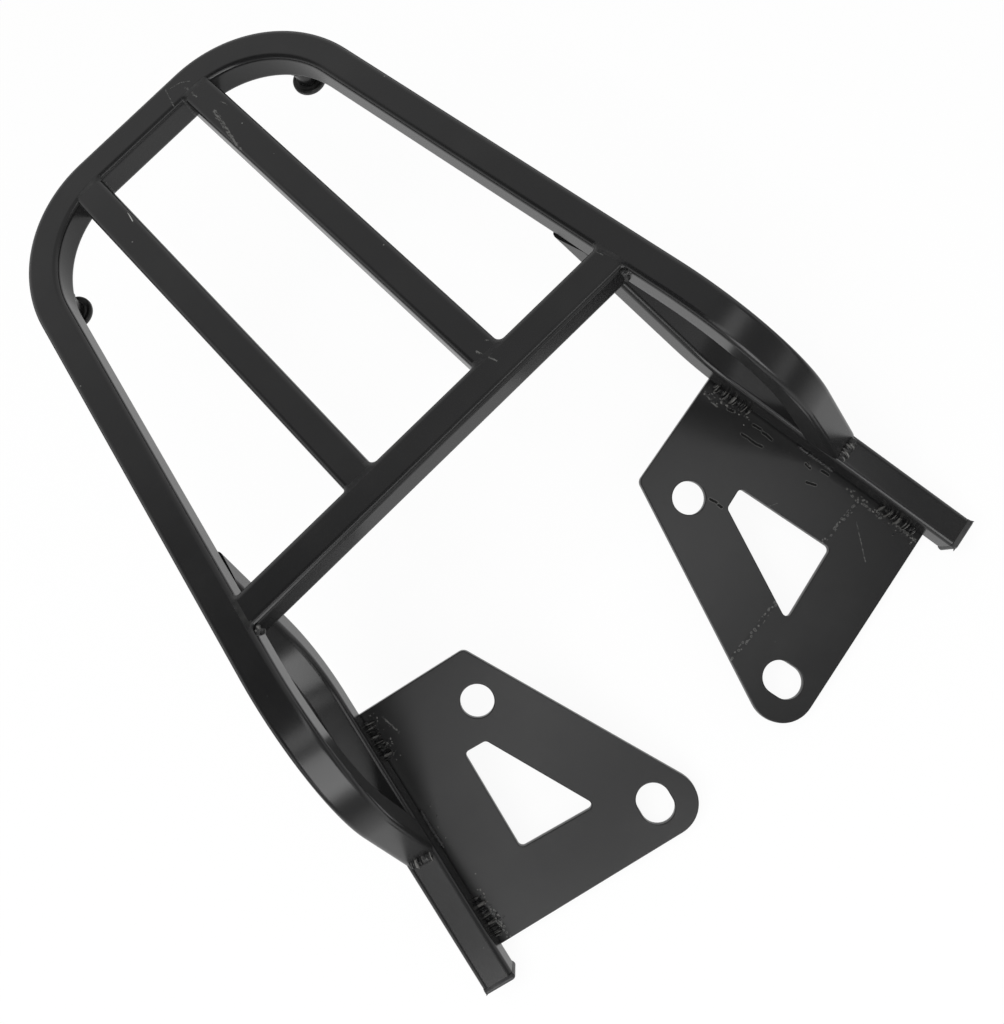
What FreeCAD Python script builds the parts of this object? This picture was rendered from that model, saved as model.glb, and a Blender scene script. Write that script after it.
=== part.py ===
"""Welded luggage rack for a motorcycle, in millimetres.

Frame: +Z up, +Y to the rear of the motorcycle, +X to its right side as the rider sits.
The origin is on the top face of the crossbar, on its centre line, midway between the bars.
"""
import FreeCAD, Part
import math
import os
import Sketcher
from FreeCAD import Placement, Rotation, Vector

os.makedirs("parts", exist_ok=True)
doc = FreeCAD.newDocument("luggage_rack")

SIZES = (
    # square tube, used for every long member
    ("tube_size", 16.0), ("tube_corner", 1.8), ("tube_wall", 1.2),
    # hoop, seen from above: outer faces where they pass the centre line of the crossbar
    ("hoop_right_x", 122.1), ("hoop_left_x", 124.9), ("hoop_right_taper", 7.7), ("hoop_left_taper", 9.2),
    ("hoop_rear_y", 233.7), ("hoop_rear_skew", 0.46), ("hoop_corner_radius", 66.0),
    # hoop, seen from the side: where each side starts to turn down, and how tightly
    ("hoop_bend_start", 22.5), ("hoop_bend_radius", 66.0),
    # crossbar and the two long bars
    ("crossbar_skew", 0.75),
    ("left_bar_front_x", 35.9), ("left_bar_rear_x", 36.7),
    ("right_bar_front_x", 39.4), ("right_bar_rear_x", 34.9),
    # rails: outer top corner at the datum, direction of their seat, how far each rail is turned
    # outwards on its seat, and the lengths from the datum
    ("rail_x", 151.3), ("rail_y", 120.0), ("rail_drop", 119.4), ("rail_yaw", 14.3), ("rail_pitch", 23.4),
    ("rail_right_toe", 2.2), ("rail_left_toe", 1.0), ("rail_front_length", 49.5), ("rail_landing", 29.0),
    ("rail_right_knee", 96.0), ("rail_left_knee", 126.0), ("rail_knee_radius", 70.0),
    ("rail_right_root_pitch", 49.5), ("rail_left_root_pitch", 60.0),
    ("rail_right_root_yaw", 13.6), ("rail_left_root_yaw", 7.3),
    # mounting plates, measured along the rail from its datum and inwards from its outer face
    ("plate_thickness", 4.0), ("plate_lap", 8.0), ("plate_rear", 90.4), ("plate_front", 40.0),
    ("plate_corner_along", 92.9), ("plate_corner_across", 72.7), ("plate_corner_radius", 4.0),
    ("plate_tip_along", 35.1), ("plate_tip_across", 146.1), ("plate_tip_radius", 16.5),
    ("round_hole", 16.4), ("round_hole_along", 68.1), ("round_hole_across", 66.0),
    ("slot_width", 16.6), ("slot_length", 20.9), ("slot_along", 17.4), ("slot_across", 114.6),
    ("cutout_rear", 49.5), ("cutout_front", 4.0), ("cutout_rail_side", 47.9),
    ("cutout_short", 11.9), ("cutout_long", 41.9), ("cutout_corner", 2.5),
    # end caps
    ("cap_flange", 3.0), ("cap_insert_length", 10.0), ("cap_clearance", 0.2), ("cap_wall", 2.0),
    # posts under the rear corners, with a rubber foot pressed into each
    ("right_post_angle", 34.0), ("left_post_angle", 26.0),
    ("post_diameter", 11.0), ("post_length", 12.0), ("post_bore", 6.4),
    ("foot_diameter", 17.2), ("foot_thickness", 3.0), ("foot_edge", 1.0), ("foot_stem_length", 7.0),
    ("foot_stem_clearance", 0.1),
    # weld beads
    ("tube_bead", 2.2), ("landing_bead", 3.0), ("plate_bead", 2.6), ("post_bead", 1.6),
    ("plate_stitch_length", 22.0), ("plate_stitch_inset", 4.0),
)
sheet = doc.addObject("Spreadsheet::Sheet", "Sizes")
for row, (alias, value) in enumerate(SIZES, start=1):
    sheet.set("A%d" % row, alias)
    sheet.set("B%d" % row, str(value))
    sheet.setAlias("B%d" % row, alias)
doc.recompute()


def size(alias):
    """The value that the sheet holds under an alias."""
    return float(getattr(sheet, alias))


def cell(alias):
    """The text that binds a property to a cell of the sheet."""
    return "Sizes." + alias


def unit(vector):
    """A copy of a vector with a length of one."""
    copy = Vector(vector)
    copy.normalize()
    return copy


def frame_at(point, x_axis, y_axis):
    """A placement at a point whose first two axes lie along two given directions."""
    z_axis = x_axis.cross(y_axis)
    return Placement(point, Rotation(x_axis, y_axis, z_axis, "ZXY"))


TUBE = size("tube_size")
HALF_TUBE = TUBE / 2
UP = Vector(0, 0, 1)
SIDES = (("right", 1), ("left", -1))
OVERRUN = 1.5 * TUBE  # how far a tube is swept past the face that trims it
REACH = 4 * TUBE      # how far a cutting block stands past the face that it cuts


class Rail:
    """The straight lines that carry one rail: its seat, its own directions and its centre line."""

    def __init__(self, name, side):
        yaw = math.radians(size("rail_yaw"))
        pitch = math.radians(size("rail_pitch"))
        toe = math.radians(size("rail_%s_toe" % name))
        root_pitch = math.radians(size("rail_%s_root_pitch" % name))
        root_yaw = math.radians(size("rail_%s_root_yaw" % name))
        level = Vector(-side * math.sin(yaw), math.cos(yaw), 0)
        self.side = side
        self.seat_along = level * math.cos(pitch) + UP * math.sin(pitch)
        seat_outward = Vector(side * math.cos(yaw), math.sin(yaw), 0)
        self.up = UP * math.cos(pitch) - level * math.sin(pitch)
        self.along = self.seat_along * math.cos(toe) + seat_outward * math.sin(toe)
        self.outward = seat_outward * math.cos(toe) - self.seat_along * math.sin(toe)
        root_level = Vector(-side * math.sin(root_yaw), math.cos(root_yaw), 0)
        self.climb = root_level * math.cos(root_pitch) + UP * math.sin(root_pitch)
        self.datum = Vector(side * size("rail_x"), -size("rail_y"), -size("rail_drop"))
        self.knee = self.at(size("rail_%s_knee" % name), HALF_TUBE, -HALF_TUBE)

    def at(self, along, across, height):
        """A point given along the rail, inwards from its outer face and up from its top face."""
        return self.datum + self.along * along - self.outward * across + self.up * height

    def frame(self, along=0.0, across=0.0, height=0.0):
        """A placement with X along the rail, Z up from its top face and Y to the left of the rack."""
        return frame_at(self.at(along, across, height), self.along, self.up.cross(self.along))

    def seat(self):
        """A placement on the rail's underside: X along the seat, Z up and Y to the left of the rack."""
        return frame_at(self.datum - self.up * TUBE, self.seat_along, self.up.cross(self.seat_along))

    def root(self):
        """The point of the centre line that lies in the underside of the hoop."""
        return self.knee + self.climb * ((-TUBE - self.knee.z) / self.climb.z)


class HoopSide:
    """The lines that carry one side of the hoop: its outer face, its turn down and its landing."""

    def __init__(self, name, side, rail):
        taper = math.radians(size("hoop_%s_taper" % name))
        self.side = side
        self.forward = Vector(side * math.sin(taper), -math.cos(taper), 0)
        self.outward = Vector(side * math.cos(taper), math.sin(taper), 0)
        self.outer_front = Vector(side * size("hoop_%s_x" % name), 0, 0)
        inset = self.outward * HALF_TUBE + UP * HALF_TUBE
        self.centre_front = self.outer_front - inset
        self.bend_start = self.centre_front + self.forward * (size("hoop_bend_start") / math.cos(taper))
        landing = rail.at(size("rail_landing"), HALF_TUBE, 0)
        reach = landing - self.bend_start
        run = reach.dot(self.forward)
        self.down = unit(reach - self.forward * run)
        drop = reach.dot(self.down)
        radius = size("hoop_bend_radius")
        distance = math.hypot(run, drop - radius)
        self.turn = math.atan2(drop - radius, run) + math.pi / 2 - math.acos(radius / distance)
        self.knee = self.bend_start + self.forward * (radius * math.tan(self.turn / 2))
        self.drop_direction = self.forward * math.cos(self.turn) + self.down * math.sin(self.turn)
        self.landing = landing
        self.end = landing + self.drop_direction * OVERRUN

    def end_frame(self):
        """The placement of the tube's section at the lower end of this side."""
        turn_axis = self.forward.cross(self.down)
        turning = Rotation(turn_axis, math.degrees(self.turn))
        return frame_at(self.end, turning.multVec(self.outward), turning.multVec(UP))

    def inner_face(self):
        """A point of this side's inner face at the rear face of the crossbar."""
        return self.outer_front - self.outward * TUBE


rails = {name: Rail(name, side) for name, side in SIDES}
hoop_sides = {name: HoopSide(name, side, rails[name]) for name, side in SIDES}
rear_skew = math.radians(size("hoop_rear_skew"))
rear_line = Vector(math.cos(rear_skew), math.sin(rear_skew), 0)
rear_outward = Vector(-math.sin(rear_skew), math.cos(rear_skew), 0)
rear_outer = Vector(0, size("hoop_rear_y"), 0)
cross_skew = math.radians(size("crossbar_skew"))
cross_line = Vector(math.cos(cross_skew), math.sin(cross_skew), 0)
cross_outward = Vector(-math.sin(cross_skew), math.cos(cross_skew), 0)


def meet(point_a, line_a, point_b, line_b):
    """The point where two lines of one level plane cross."""
    across = Vector(-line_b.y, line_b.x, 0)
    return point_a + line_a * ((point_b - point_a).dot(across) / line_a.dot(across))


def path_through(label, points, radii):
    """A wire of straight runs through points, with an arc of a given radius at each inner point."""
    edges = []
    start = points[0]
    for before, corner, after, radius in zip(points, points[1:], points[2:], radii):
        arrive = unit(corner - before)
        leave = unit(after - corner)
        half_turn = arrive.getAngle(leave) / 2
        tangent = radius * math.tan(half_turn)
        first = corner - arrive * tangent
        last = corner + leave * tangent
        inward = unit(leave - arrive)
        middle = corner + inward * (radius / math.cos(half_turn) - radius)
        edges.append(Part.LineSegment(start, first).toShape())
        edges.append(Part.Arc(first, middle, last).toShape())
        start = last
    edges.append(Part.LineSegment(start, points[-1]).toShape())
    spine = doc.addObject("Part::Feature", label)
    spine.Shape = Part.Wire(edges)
    return spine


def rounded_square(label, size_text, corner_text, placement):
    """A sketch of a square with rounded corners, centred on its origin, sized from the sheet."""
    sketch = doc.addObject("Sketcher::SketchObject", label)
    half = HALF_TUBE
    inner = half - size("tube_corner")
    ends = ((-inner, half, inner, half), (half, inner, half, -inner),
            (inner, -half, -inner, -half), (-half, -inner, -half, inner))
    for x1, y1, x2, y2 in ends:
        sketch.addGeometry(Part.LineSegment(Vector(x1, y1, 0), Vector(x2, y2, 0)), False)
    centres = ((inner, inner, 0), (inner, -inner, 270), (-inner, -inner, 180), (-inner, inner, 90))
    for x, y, angle in centres:
        circle = Part.Circle(Vector(x, y, 0), UP, size("tube_corner"))
        arc = Part.ArcOfCircle(circle, math.radians(angle), math.radians(angle + 90))
        sketch.addGeometry(arc, False)
    joins = ((0, 2, 4, 2), (4, 1, 1, 1), (1, 2, 5, 2), (5, 1, 2, 1),
             (2, 2, 6, 2), (6, 1, 3, 1), (3, 2, 7, 2), (7, 1, 0, 1))
    for first, first_end, second, second_end in joins:
        sketch.addConstraint(Sketcher.Constraint("Tangent", first, first_end, second, second_end))
    for arc in (5, 6, 7):
        sketch.addConstraint(Sketcher.Constraint("Equal", 4, arc))
    for line, direction in enumerate(("Horizontal", "Vertical", "Horizontal", "Vertical")):
        sketch.addConstraint(Sketcher.Constraint(direction, line))
    sketch.addConstraint(Sketcher.Constraint("Symmetric", 0, 1, 2, 1, -1, 1))
    sketch.addConstraint(Sketcher.Constraint("Equal", 0, 1))
    side = sketch.addConstraint(Sketcher.Constraint("DistanceX", 3, 1, 1, 1, TUBE))
    corner = sketch.addConstraint(Sketcher.Constraint("Radius", 4, size("tube_corner")))
    sketch.setExpression("Constraints[%d]" % side, size_text)
    sketch.setExpression("Constraints[%d]" % corner, corner_text)
    sketch.Placement = placement
    return sketch


def sweep(label, section, spine):
    """A closed solid made by carrying a section along the whole of a spine."""
    swept = doc.addObject("Part::Sweep", label)
    swept.Sections = [section]
    swept.Spine = (spine, ["Edge%d" % (index + 1) for index in range(len(spine.Shape.Edges))])
    swept.Solid = True
    swept.Frenet = False
    return swept


def block(label, point, normal, along=None):
    """A large box that fills the space on one side of a plane, from a point along its normal."""
    box = doc.addObject("Part::Box", label)
    span = 4 * REACH
    box.Length = span
    box.Width = span
    box.Height = REACH
    guide = along if along else (UP if abs(normal.z) < 0.9 else Vector(1, 0, 0))
    x_axis = unit(guide - normal * guide.dot(normal))
    y_axis = normal.cross(x_axis)
    corner = point - x_axis * (span / 2) - y_axis * (span / 2)
    box.Placement = frame_at(corner, x_axis, y_axis)
    return box


def cut(label, base, tools):
    """A base shape with one or more tools taken away from it, one after the other."""
    for step, tool in enumerate(tools, start=1):
        result = doc.addObject("Part::Cut", label if step == len(tools) else "%s_cut_%d" % (label, step))
        result.Base = base
        result.Tool = tool
        base = result
    return result


def tube(label, spine, placement, trims):
    """A hollow square tube along a spine, trimmed by blocks."""
    outside = rounded_square(label + "_outside", cell("tube_size"), cell("tube_corner"), placement)
    inside = rounded_square(label + "_inside", cell("tube_size") + " - 2 * " + cell("tube_wall"),
                            cell("tube_corner") + " - " + cell("tube_wall"), placement)
    doc.recompute()
    solid = sweep(label + "_solid", outside, spine)
    bore = sweep(label + "_bore", inside, spine)
    return cut(label, solid, [bore] + trims)


def make_hoop():
    """The hoop: one tube that runs up from the right rail, round the rear and down to the left rail."""
    right = hoop_sides["right"]
    left = hoop_sides["left"]
    rear_centre = rear_outer - rear_outward * HALF_TUBE - UP * HALF_TUBE
    right_corner = meet(right.centre_front, right.forward, rear_centre, rear_line)
    left_corner = meet(left.centre_front, left.forward, rear_centre, rear_line)
    corner_radius = size("hoop_corner_radius") - HALF_TUBE
    bend_radius = size("hoop_bend_radius")
    spine = path_through("hoop_spine",
                         [right.end, right.knee, right_corner, left_corner, left.knee, left.end],
                         [bend_radius, corner_radius, corner_radius, bend_radius])
    trims = [block("hoop_%s_trim" % name, rails[name].at(size("rail_landing"), HALF_TUBE, 0),
                   rails[name].up * -1, rails[name].along) for name, side in SIDES]
    return tube("hoop", spine, right.end_frame(), trims)


def make_crossbar():
    """The crossbar, from the inner face of one side of the hoop to the other, flush on top."""
    centre = UP * -HALF_TUBE
    ends = [meet(centre, cross_line, side.centre_front, side.forward) for side in hoop_sides.values()]
    spine = path_through("crossbar_spine", ends, [])
    trims = [block("crossbar_%s_trim" % name, side.inner_face(), side.outward)
             for name, side in hoop_sides.items()]
    return tube("crossbar", spine, frame_at(ends[0], cross_outward, UP), trims)


def bar_line(name, side):
    """The two ends of one long bar's centre line: at the crossbar's rear face and at the hoop."""
    rear_y = size("hoop_rear_y") - TUBE
    front = Vector(side * size("%s_bar_front_x" % name), HALF_TUBE, -HALF_TUBE)
    rear = Vector(side * size("%s_bar_rear_x" % name), rear_y, -HALF_TUBE)
    return front, rear


def make_bar(name, side):
    """One long bar, from the rear face of the crossbar to the inner face of the hoop's rear run."""
    front, rear = bar_line(name, side)
    run = unit(rear - front)
    start = front - run * HALF_TUBE
    spine = path_through(name + "_bar_spine", [start, rear + run * HALF_TUBE], [])
    trims = [block(name + "_bar_front_trim", cross_outward * HALF_TUBE, cross_outward * -1),
             block(name + "_bar_rear_trim", rear_outer - rear_outward * TUBE, rear_outward),
             filled("hoop")]
    return tube(name + "_bar", spine, frame_at(start, run.cross(UP), UP), trims)


def make_rail(name):
    """One lower rail: straight from its front end, then a knee up to the underside of the hoop."""
    rail = rails[name]
    start = rail.at(-size("rail_front_length"), HALF_TUBE, -HALF_TUBE)
    end = rail.root() + rail.climb * OVERRUN
    spine = path_through(name + "_rail_spine", [start, rail.knee, end], [size("rail_knee_radius")])
    trim = block(name + "_rail_trim", Vector(end.x, end.y, -TUBE), UP)
    return tube(name + "_rail", spine, frame_at(start, rail.outward, rail.up), [trim])


def plate_point(side, along, across):
    """A point of the plate's sketch: along the rail, and inwards from the rail's outer face."""
    return Vector(along, side * across, 0)


def rounded_outline(corners, radii):
    """The lines and arcs of a closed outline whose corners are rounded."""
    count = len(corners)
    pieces = []
    trimmed = []
    for index in range(count):
        corner = corners[index]
        arrive = unit(corner - corners[index - 1])
        leave = unit(corners[(index + 1) % count] - corner)
        radius = radii[index]
        if radius == 0:
            trimmed.append((corner, corner, None))
            continue
        half_turn = arrive.getAngle(leave) / 2
        tangent = radius * math.tan(half_turn)
        middle = corner + unit(leave - arrive) * (radius / math.cos(half_turn) - radius)
        trimmed.append((corner - arrive * tangent, corner + leave * tangent, middle))
    for index in range(count):
        first, last, middle = trimmed[index]
        if middle:
            pieces.append(Part.Arc(first, middle, last))
        pieces.append(Part.LineSegment(last, trimmed[(index + 1) % count][0]))
    return pieces


def plate_sketch(body, name, geometry):
    """A sketch in the plate's top plane that holds the given lines, arcs or circles."""
    sketch = body.newObject("Sketcher::SketchObject", name)
    top_plane = [item for item in body.Origin.OriginFeatures if item.Role == "XY_Plane"][0]
    sketch.AttachmentSupport = (top_plane, [""])
    sketch.MapMode = "FlatFace"
    sketch.addGeometry(geometry, False)
    doc.recompute()
    return sketch


def pocket(body, name, sketch):
    """A pocket through the plate."""
    hole = body.newObject("PartDesign::Pocket", name)
    hole.Profile = sketch
    hole.Type = "ThroughAll"
    hole.Midplane = True
    return hole


def make_plate(name, side):
    """One mounting plate, lapped under its rail, with a round hole, a slot and a cut-out."""
    body = doc.addObject("PartDesign::Body", name + "_plate")
    rail = rails[name]
    inner_edge = TUBE - size("plate_lap")
    rear = plate_point(side, size("plate_rear"), inner_edge)
    corner = plate_point(side, size("plate_corner_along"), size("plate_corner_across"))
    tip = plate_point(side, -size("plate_tip_along"), size("plate_tip_across"))
    front = plate_point(side, -size("plate_front"), inner_edge)
    outline = rounded_outline([rear, corner, tip, front],
                              [0, size("plate_corner_radius"), size("plate_tip_radius"), 0])
    sheet_blank = body.newObject("PartDesign::Pad", name + "_plate_blank")
    sheet_blank.Profile = plate_sketch(body, name + "_plate_outline", outline)
    sheet_blank.setExpression("Length", cell("plate_thickness"))
    sheet_blank.Reversed = True
    doc.recompute()
    hole_centre = plate_point(side, size("round_hole_along"), size("round_hole_across"))
    circle = Part.Circle(hole_centre, UP, size("round_hole") / 2)
    pocket(body, name + "_plate_hole", plate_sketch(body, name + "_plate_hole_circle", [circle]))
    slot_centre = plate_point(side, -size("slot_along"), size("slot_across"))
    half_straight = (size("slot_length") - size("slot_width")) / 2
    slot_radius = size("slot_width") / 2
    straight = Vector(half_straight, 0, 0)
    breadth = Vector(0, slot_radius, 0)
    ahead = Vector(half_straight + slot_radius, 0, 0)
    slot = [Part.LineSegment(slot_centre - straight + breadth, slot_centre + straight + breadth),
            Part.Arc(slot_centre + straight + breadth, slot_centre + ahead, slot_centre + straight - breadth),
            Part.LineSegment(slot_centre + straight - breadth, slot_centre - straight - breadth),
            Part.Arc(slot_centre - straight - breadth, slot_centre - ahead, slot_centre - straight + breadth)]
    pocket(body, name + "_plate_slot", plate_sketch(body, name + "_plate_slot_outline", slot))
    rail_side = size("cutout_rail_side")
    opening = [plate_point(side, size("cutout_rear"), rail_side),
               plate_point(side, -size("cutout_front"), rail_side),
               plate_point(side, -size("cutout_front"), rail_side + size("cutout_long")),
               plate_point(side, size("cutout_rear"), rail_side + size("cutout_short"))]
    window = rounded_outline(opening, [size("cutout_corner")] * len(opening))
    pocket(body, name + "_plate_cutout", plate_sketch(body, name + "_plate_cutout_outline", window))
    body.Placement = rail.seat()
    return body


def plain_box(label, length, width, height, placement):
    """A box of bound sizes that grows from its placement along X and is centred on it in Y and Z."""
    box = doc.addObject("Part::Box", label)
    box.setExpression("Length", length)
    box.setExpression("Width", width)
    box.setExpression("Height", height)
    doc.recompute()
    box.Placement = placement.multiply(
        Placement(Vector(0, -box.Width.Value / 2, -box.Height.Value / 2), Rotation()))
    return box


def make_end_cap(name):
    """One end cap: a square flange against the tube's end and a hollow insert in its bore."""
    rail = rails[name]
    front = size("rail_front_length")
    flange_at = rail.frame(-front - size("cap_flange"), HALF_TUBE, -HALF_TUBE)
    insert_at = rail.frame(-front, HALF_TUBE, -HALF_TUBE)
    bore_text = "(%s - 2 * %s - 2 * %s)" % (cell("tube_size"), cell("tube_wall"), cell("cap_clearance"))
    core_text = bore_text + " - 2 * " + cell("cap_wall")
    flange = plain_box(name + "_cap_plate", cell("cap_flange"), cell("tube_size"), cell("tube_size"), flange_at)
    rounded = doc.addObject("Part::Fillet", name + "_cap_flange")
    rounded.Base = flange
    long_edges = [index + 1 for index, edge in enumerate(flange.Shape.Edges)
                  if abs(edge.Length - size("cap_flange")) < 1e-6]
    rounded.Edges = [(index, size("tube_corner"), size("tube_corner")) for index in long_edges]
    insert = plain_box(name + "_cap_insert", cell("cap_insert_length"), bore_text, bore_text, insert_at)
    core = plain_box(name + "_cap_core", cell("cap_insert_length") + " + 1", core_text, core_text, insert_at)
    ring = cut(name + "_cap_ring", insert, [core])
    cap = doc.addObject("Part::Fuse", name + "_end_cap")
    cap.Base = rounded
    cap.Tool = ring
    return cap


def post_centre(name):
    """The point of the hoop's underside where one post stands, on the centre line of the corner arc."""
    side = hoop_sides[name]
    radius = size("hoop_corner_radius")
    side_line = side.outer_front - side.outward * radius
    rear_inset = rear_outer - rear_outward * radius
    arc_centre = meet(side_line, side.forward, rear_inset, rear_line)
    angle = math.radians(size("%s_post_angle" % name))
    spoke = Vector(side.side * math.cos(angle), math.sin(angle), 0)
    return arc_centre + spoke * (radius - HALF_TUBE) - UP * TUBE


def make_post(name):
    """One post: a round boss welded under the hoop, bored to take the stem of its foot."""
    top = post_centre(name)
    bottom = top - UP * size("post_length")
    boss = doc.addObject("Part::Cylinder", name + "_post_boss")
    boss.setExpression("Radius", cell("post_diameter") + " / 2")
    boss.setExpression("Height", cell("post_length"))
    boss.Placement = Placement(bottom, Rotation())
    bore = doc.addObject("Part::Cylinder", name + "_post_bore")
    bore.setExpression("Radius", cell("post_bore") + " / 2")
    bore.setExpression("Height", cell("foot_stem_length") + " + 1")
    bore.Placement = Placement(bottom, Rotation())
    return cut(name + "_post", boss, [bore])


def make_foot(name):
    """One rubber foot: a disc with rounded edges and a stem, turned as one piece."""
    body = doc.addObject("PartDesign::Body", name + "_foot")
    sketch = body.newObject("Sketcher::SketchObject", name + "_foot_section")
    plane = [item for item in body.Origin.OriginFeatures if item.Role == "XZ_Plane"][0]
    sketch.AttachmentSupport = (plane, [""])
    sketch.MapMode = "FlatFace"
    disc = size("foot_diameter") / 2
    stem = size("post_bore") / 2 - size("foot_stem_clearance")
    thick = size("foot_thickness")
    height = size("foot_stem_length")
    edge = size("foot_edge")
    corners = [Vector(0, -thick, 0), Vector(disc, -thick, 0), Vector(disc, 0, 0),
               Vector(stem, 0, 0), Vector(stem, height, 0), Vector(0, height, 0)]
    sketch.addGeometry(rounded_outline(corners, [0, edge, edge, 0, edge / 2, 0]), False)
    doc.recompute()
    turned = body.newObject("PartDesign::Revolution", name + "_foot_turned")
    turned.Profile = sketch
    turned.ReferenceAxis = (sketch, ["V_Axis"])
    turned.Angle = 360
    body.Placement = Placement(post_centre(name) - UP * size("post_length"), Rotation())
    return body


def bead(label, start, end, radius_alias, joined):
    """A weld bead: a round bar along a seam, less the pieces that it joins, their bores filled."""
    rod = doc.addObject("Part::Cylinder", label + "_rod")
    rod.setExpression("Radius", cell(radius_alias))
    rod.Height = (end - start).Length
    rod.Placement = Placement(start, Rotation(UP, end - start))
    return cut(label, rod, [filled(name) for name in joined])


def filled(name):
    """The outer solid that a tube was cut from, or the piece itself where it is not a tube."""
    return doc.getObject(name + "_solid") or doc.getObject(name)


def gather(label, members):
    """Separate solids that share one node."""
    group = doc.addObject("Part::Compound", label)
    group.Links = members
    return group


def upright_bead(label, corner, joined):
    """A bead up the inside corner between two tubes that are flush on top."""
    foot = Vector(corner.x, corner.y, -TUBE + size("tube_corner"))
    head = Vector(corner.x, corner.y, -size("tube_corner"))
    return bead(label, foot, head, "tube_bead", joined)


def make_crossbar_welds():
    """Beads in the front and rear corners where the crossbar meets the hoop."""
    beads = []
    for name, side in hoop_sides.items():
        for place, start in (("rear", cross_outward * HALF_TUBE), ("front", cross_outward * -HALF_TUBE)):
            corner = meet(start, cross_line, side.inner_face(), side.forward)
            beads.append(upright_bead("crossbar_weld_%s_%s" % (name, place), corner, ["hoop", "crossbar"]))
    return gather("crossbar_welds", beads)


def make_bar_welds():
    """Beads in the corners where the long bars meet the crossbar and the hoop."""
    beads = []
    rear_inner = rear_outer - rear_outward * TUBE
    for name, side in SIDES:
        front, rear = bar_line(name, side)
        run = unit(rear - front)
        across = run.cross(UP)
        for flank in (1, -1):
            edge = front + across * (flank * HALF_TUBE)
            tag = "%s_%s" % (name, "inner" if flank * side < 0 else "outer")
            at_front = meet(edge, run, cross_outward * HALF_TUBE, cross_line)
            at_rear = meet(edge, run, rear_inner, rear_line)
            beads.append(upright_bead("bar_weld_front_" + tag, at_front, ["crossbar", name + "_bar"]))
            beads.append(upright_bead("bar_weld_rear_" + tag, at_rear, ["hoop", name + "_bar"]))
    return gather("bar_welds", beads)


def make_landing_welds():
    """Beads across the rails in front of and behind each end of the hoop."""
    beads = []
    corner = size("tube_corner")
    for name, side in hoop_sides.items():
        rail = rails[name]
        slope = side.drop_direction.dot(rail.up)
        depth = HALF_TUBE / abs(slope)
        for place, shift in (("front", -depth), ("rear", depth)):
            start = rail.at(size("rail_landing") + shift, corner, 0)
            end = rail.at(size("rail_landing") + shift, TUBE - corner, 0)
            label = "hoop_end_weld_%s_%s" % (name, place)
            beads.append(bead(label, start, end, "landing_bead", ["hoop", name + "_rail"]))
    return gather("hoop_end_welds", beads)


def make_root_welds():
    """Beads across the top and bottom of each rail where it meets the underside of the hoop."""
    beads = []
    corner = size("tube_corner")
    for name, rail in rails.items():
        root = rail.root()
        level = unit(Vector(rail.climb.x, rail.climb.y, 0))
        depth = HALF_TUBE / rail.climb.z
        half_width = HALF_TUBE - corner
        for place, shift in (("front", -depth), ("rear", depth)):
            middle = root + level * shift
            label = "rail_root_weld_%s_%s" % (name, place)
            beads.append(bead(label, middle - rail.outward * half_width, middle + rail.outward * half_width,
                              "tube_bead", ["hoop", "crossbar", name + "_rail"]))
    return gather("rail_root_welds", beads)


def make_plate_welds():
    """Three stitches on each plate, in the corner between its top face and the rail's inner face."""
    beads = []
    length = size("plate_stitch_length")
    first = -size("plate_front") + size("plate_stitch_inset")
    last = size("plate_rear") - size("plate_stitch_inset") - length
    for name, rail in rails.items():
        for index, along in enumerate((first, (first + last) / 2, last)):
            start = rail.at(along, TUBE, -TUBE)
            end = rail.at(along + length, TUBE, -TUBE)
            label = "plate_weld_%s_%d" % (name, index + 1)
            beads.append(bead(label, start, end, "plate_bead", [name + "_rail", name + "_plate"]))
    return gather("plate_welds", beads)


def make_post_welds():
    """A ring bead round the top of each post, wide against the hoop and thin on the post."""
    rings = []
    for name, side in SIDES:
        ring = doc.addObject("Part::Cone", "post_weld_%s_ring" % name)
        ring.setExpression("Radius1", cell("post_diameter") + " / 2")
        ring.setExpression("Radius2", cell("post_diameter") + " / 2 + " + cell("post_bead"))
        ring.setExpression("Height", cell("post_bead"))
        ring.Placement = Placement(post_centre(name) - UP * size("post_bead"), Rotation())
        rings.append(cut("post_weld_" + name, ring, [posts[name]]))
    return gather("post_welds", rings)


hoop = make_hoop()
crossbar = make_crossbar()
bars = {name: make_bar(name, side) for name, side in SIDES}
rail_solids = {name: make_rail(name) for name, side in SIDES}
plates = {name: make_plate(name, side) for name, side in SIDES}
caps = {name: make_end_cap(name) for name, side in SIDES}
posts = {name: make_post(name) for name, side in SIDES}
feet = {name: make_foot(name) for name, side in SIDES}
doc.recompute()
welds = [make_crossbar_welds(), make_bar_welds(), make_landing_welds(), make_root_welds(),
         make_plate_welds(), make_post_welds()]
doc.recompute()

nodes = [hoop, crossbar] + welds
for family in (bars, rail_solids, plates, caps, posts, feet):
    nodes += list(family.values())
for item in doc.Objects:
    if "Invalid" in item.State or "Error" in item.State:
        raise RuntimeError("%s failed: %s" % (item.Label, item.State))
for node in nodes:
    if node.Shape.isNull() or not node.Shape.isValid():
        raise RuntimeError("%s has no valid shape" % node.Label)
for node in nodes:
    node.Shape.exportStep("parts/%s.step" % node.Label)
    print(node.Label, len(node.Shape.Solids), "solids", round(node.Shape.Volume / 1000, 2), "cm3")
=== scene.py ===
"""A welded luggage rack for a motorcycle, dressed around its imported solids.

Frame: metres, +Z up, +Y to the rear of the motorcycle, +X to the rider's right.
The origin is on the top face of the crossbar, midway between the sides of the hoop.
"""
from __future__ import annotations

import logging
import math
from dataclasses import dataclass, field
from enum import Enum
from typing import Sequence

import bmesh
import bpy
import numpy as np
from mathutils import Matrix

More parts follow.
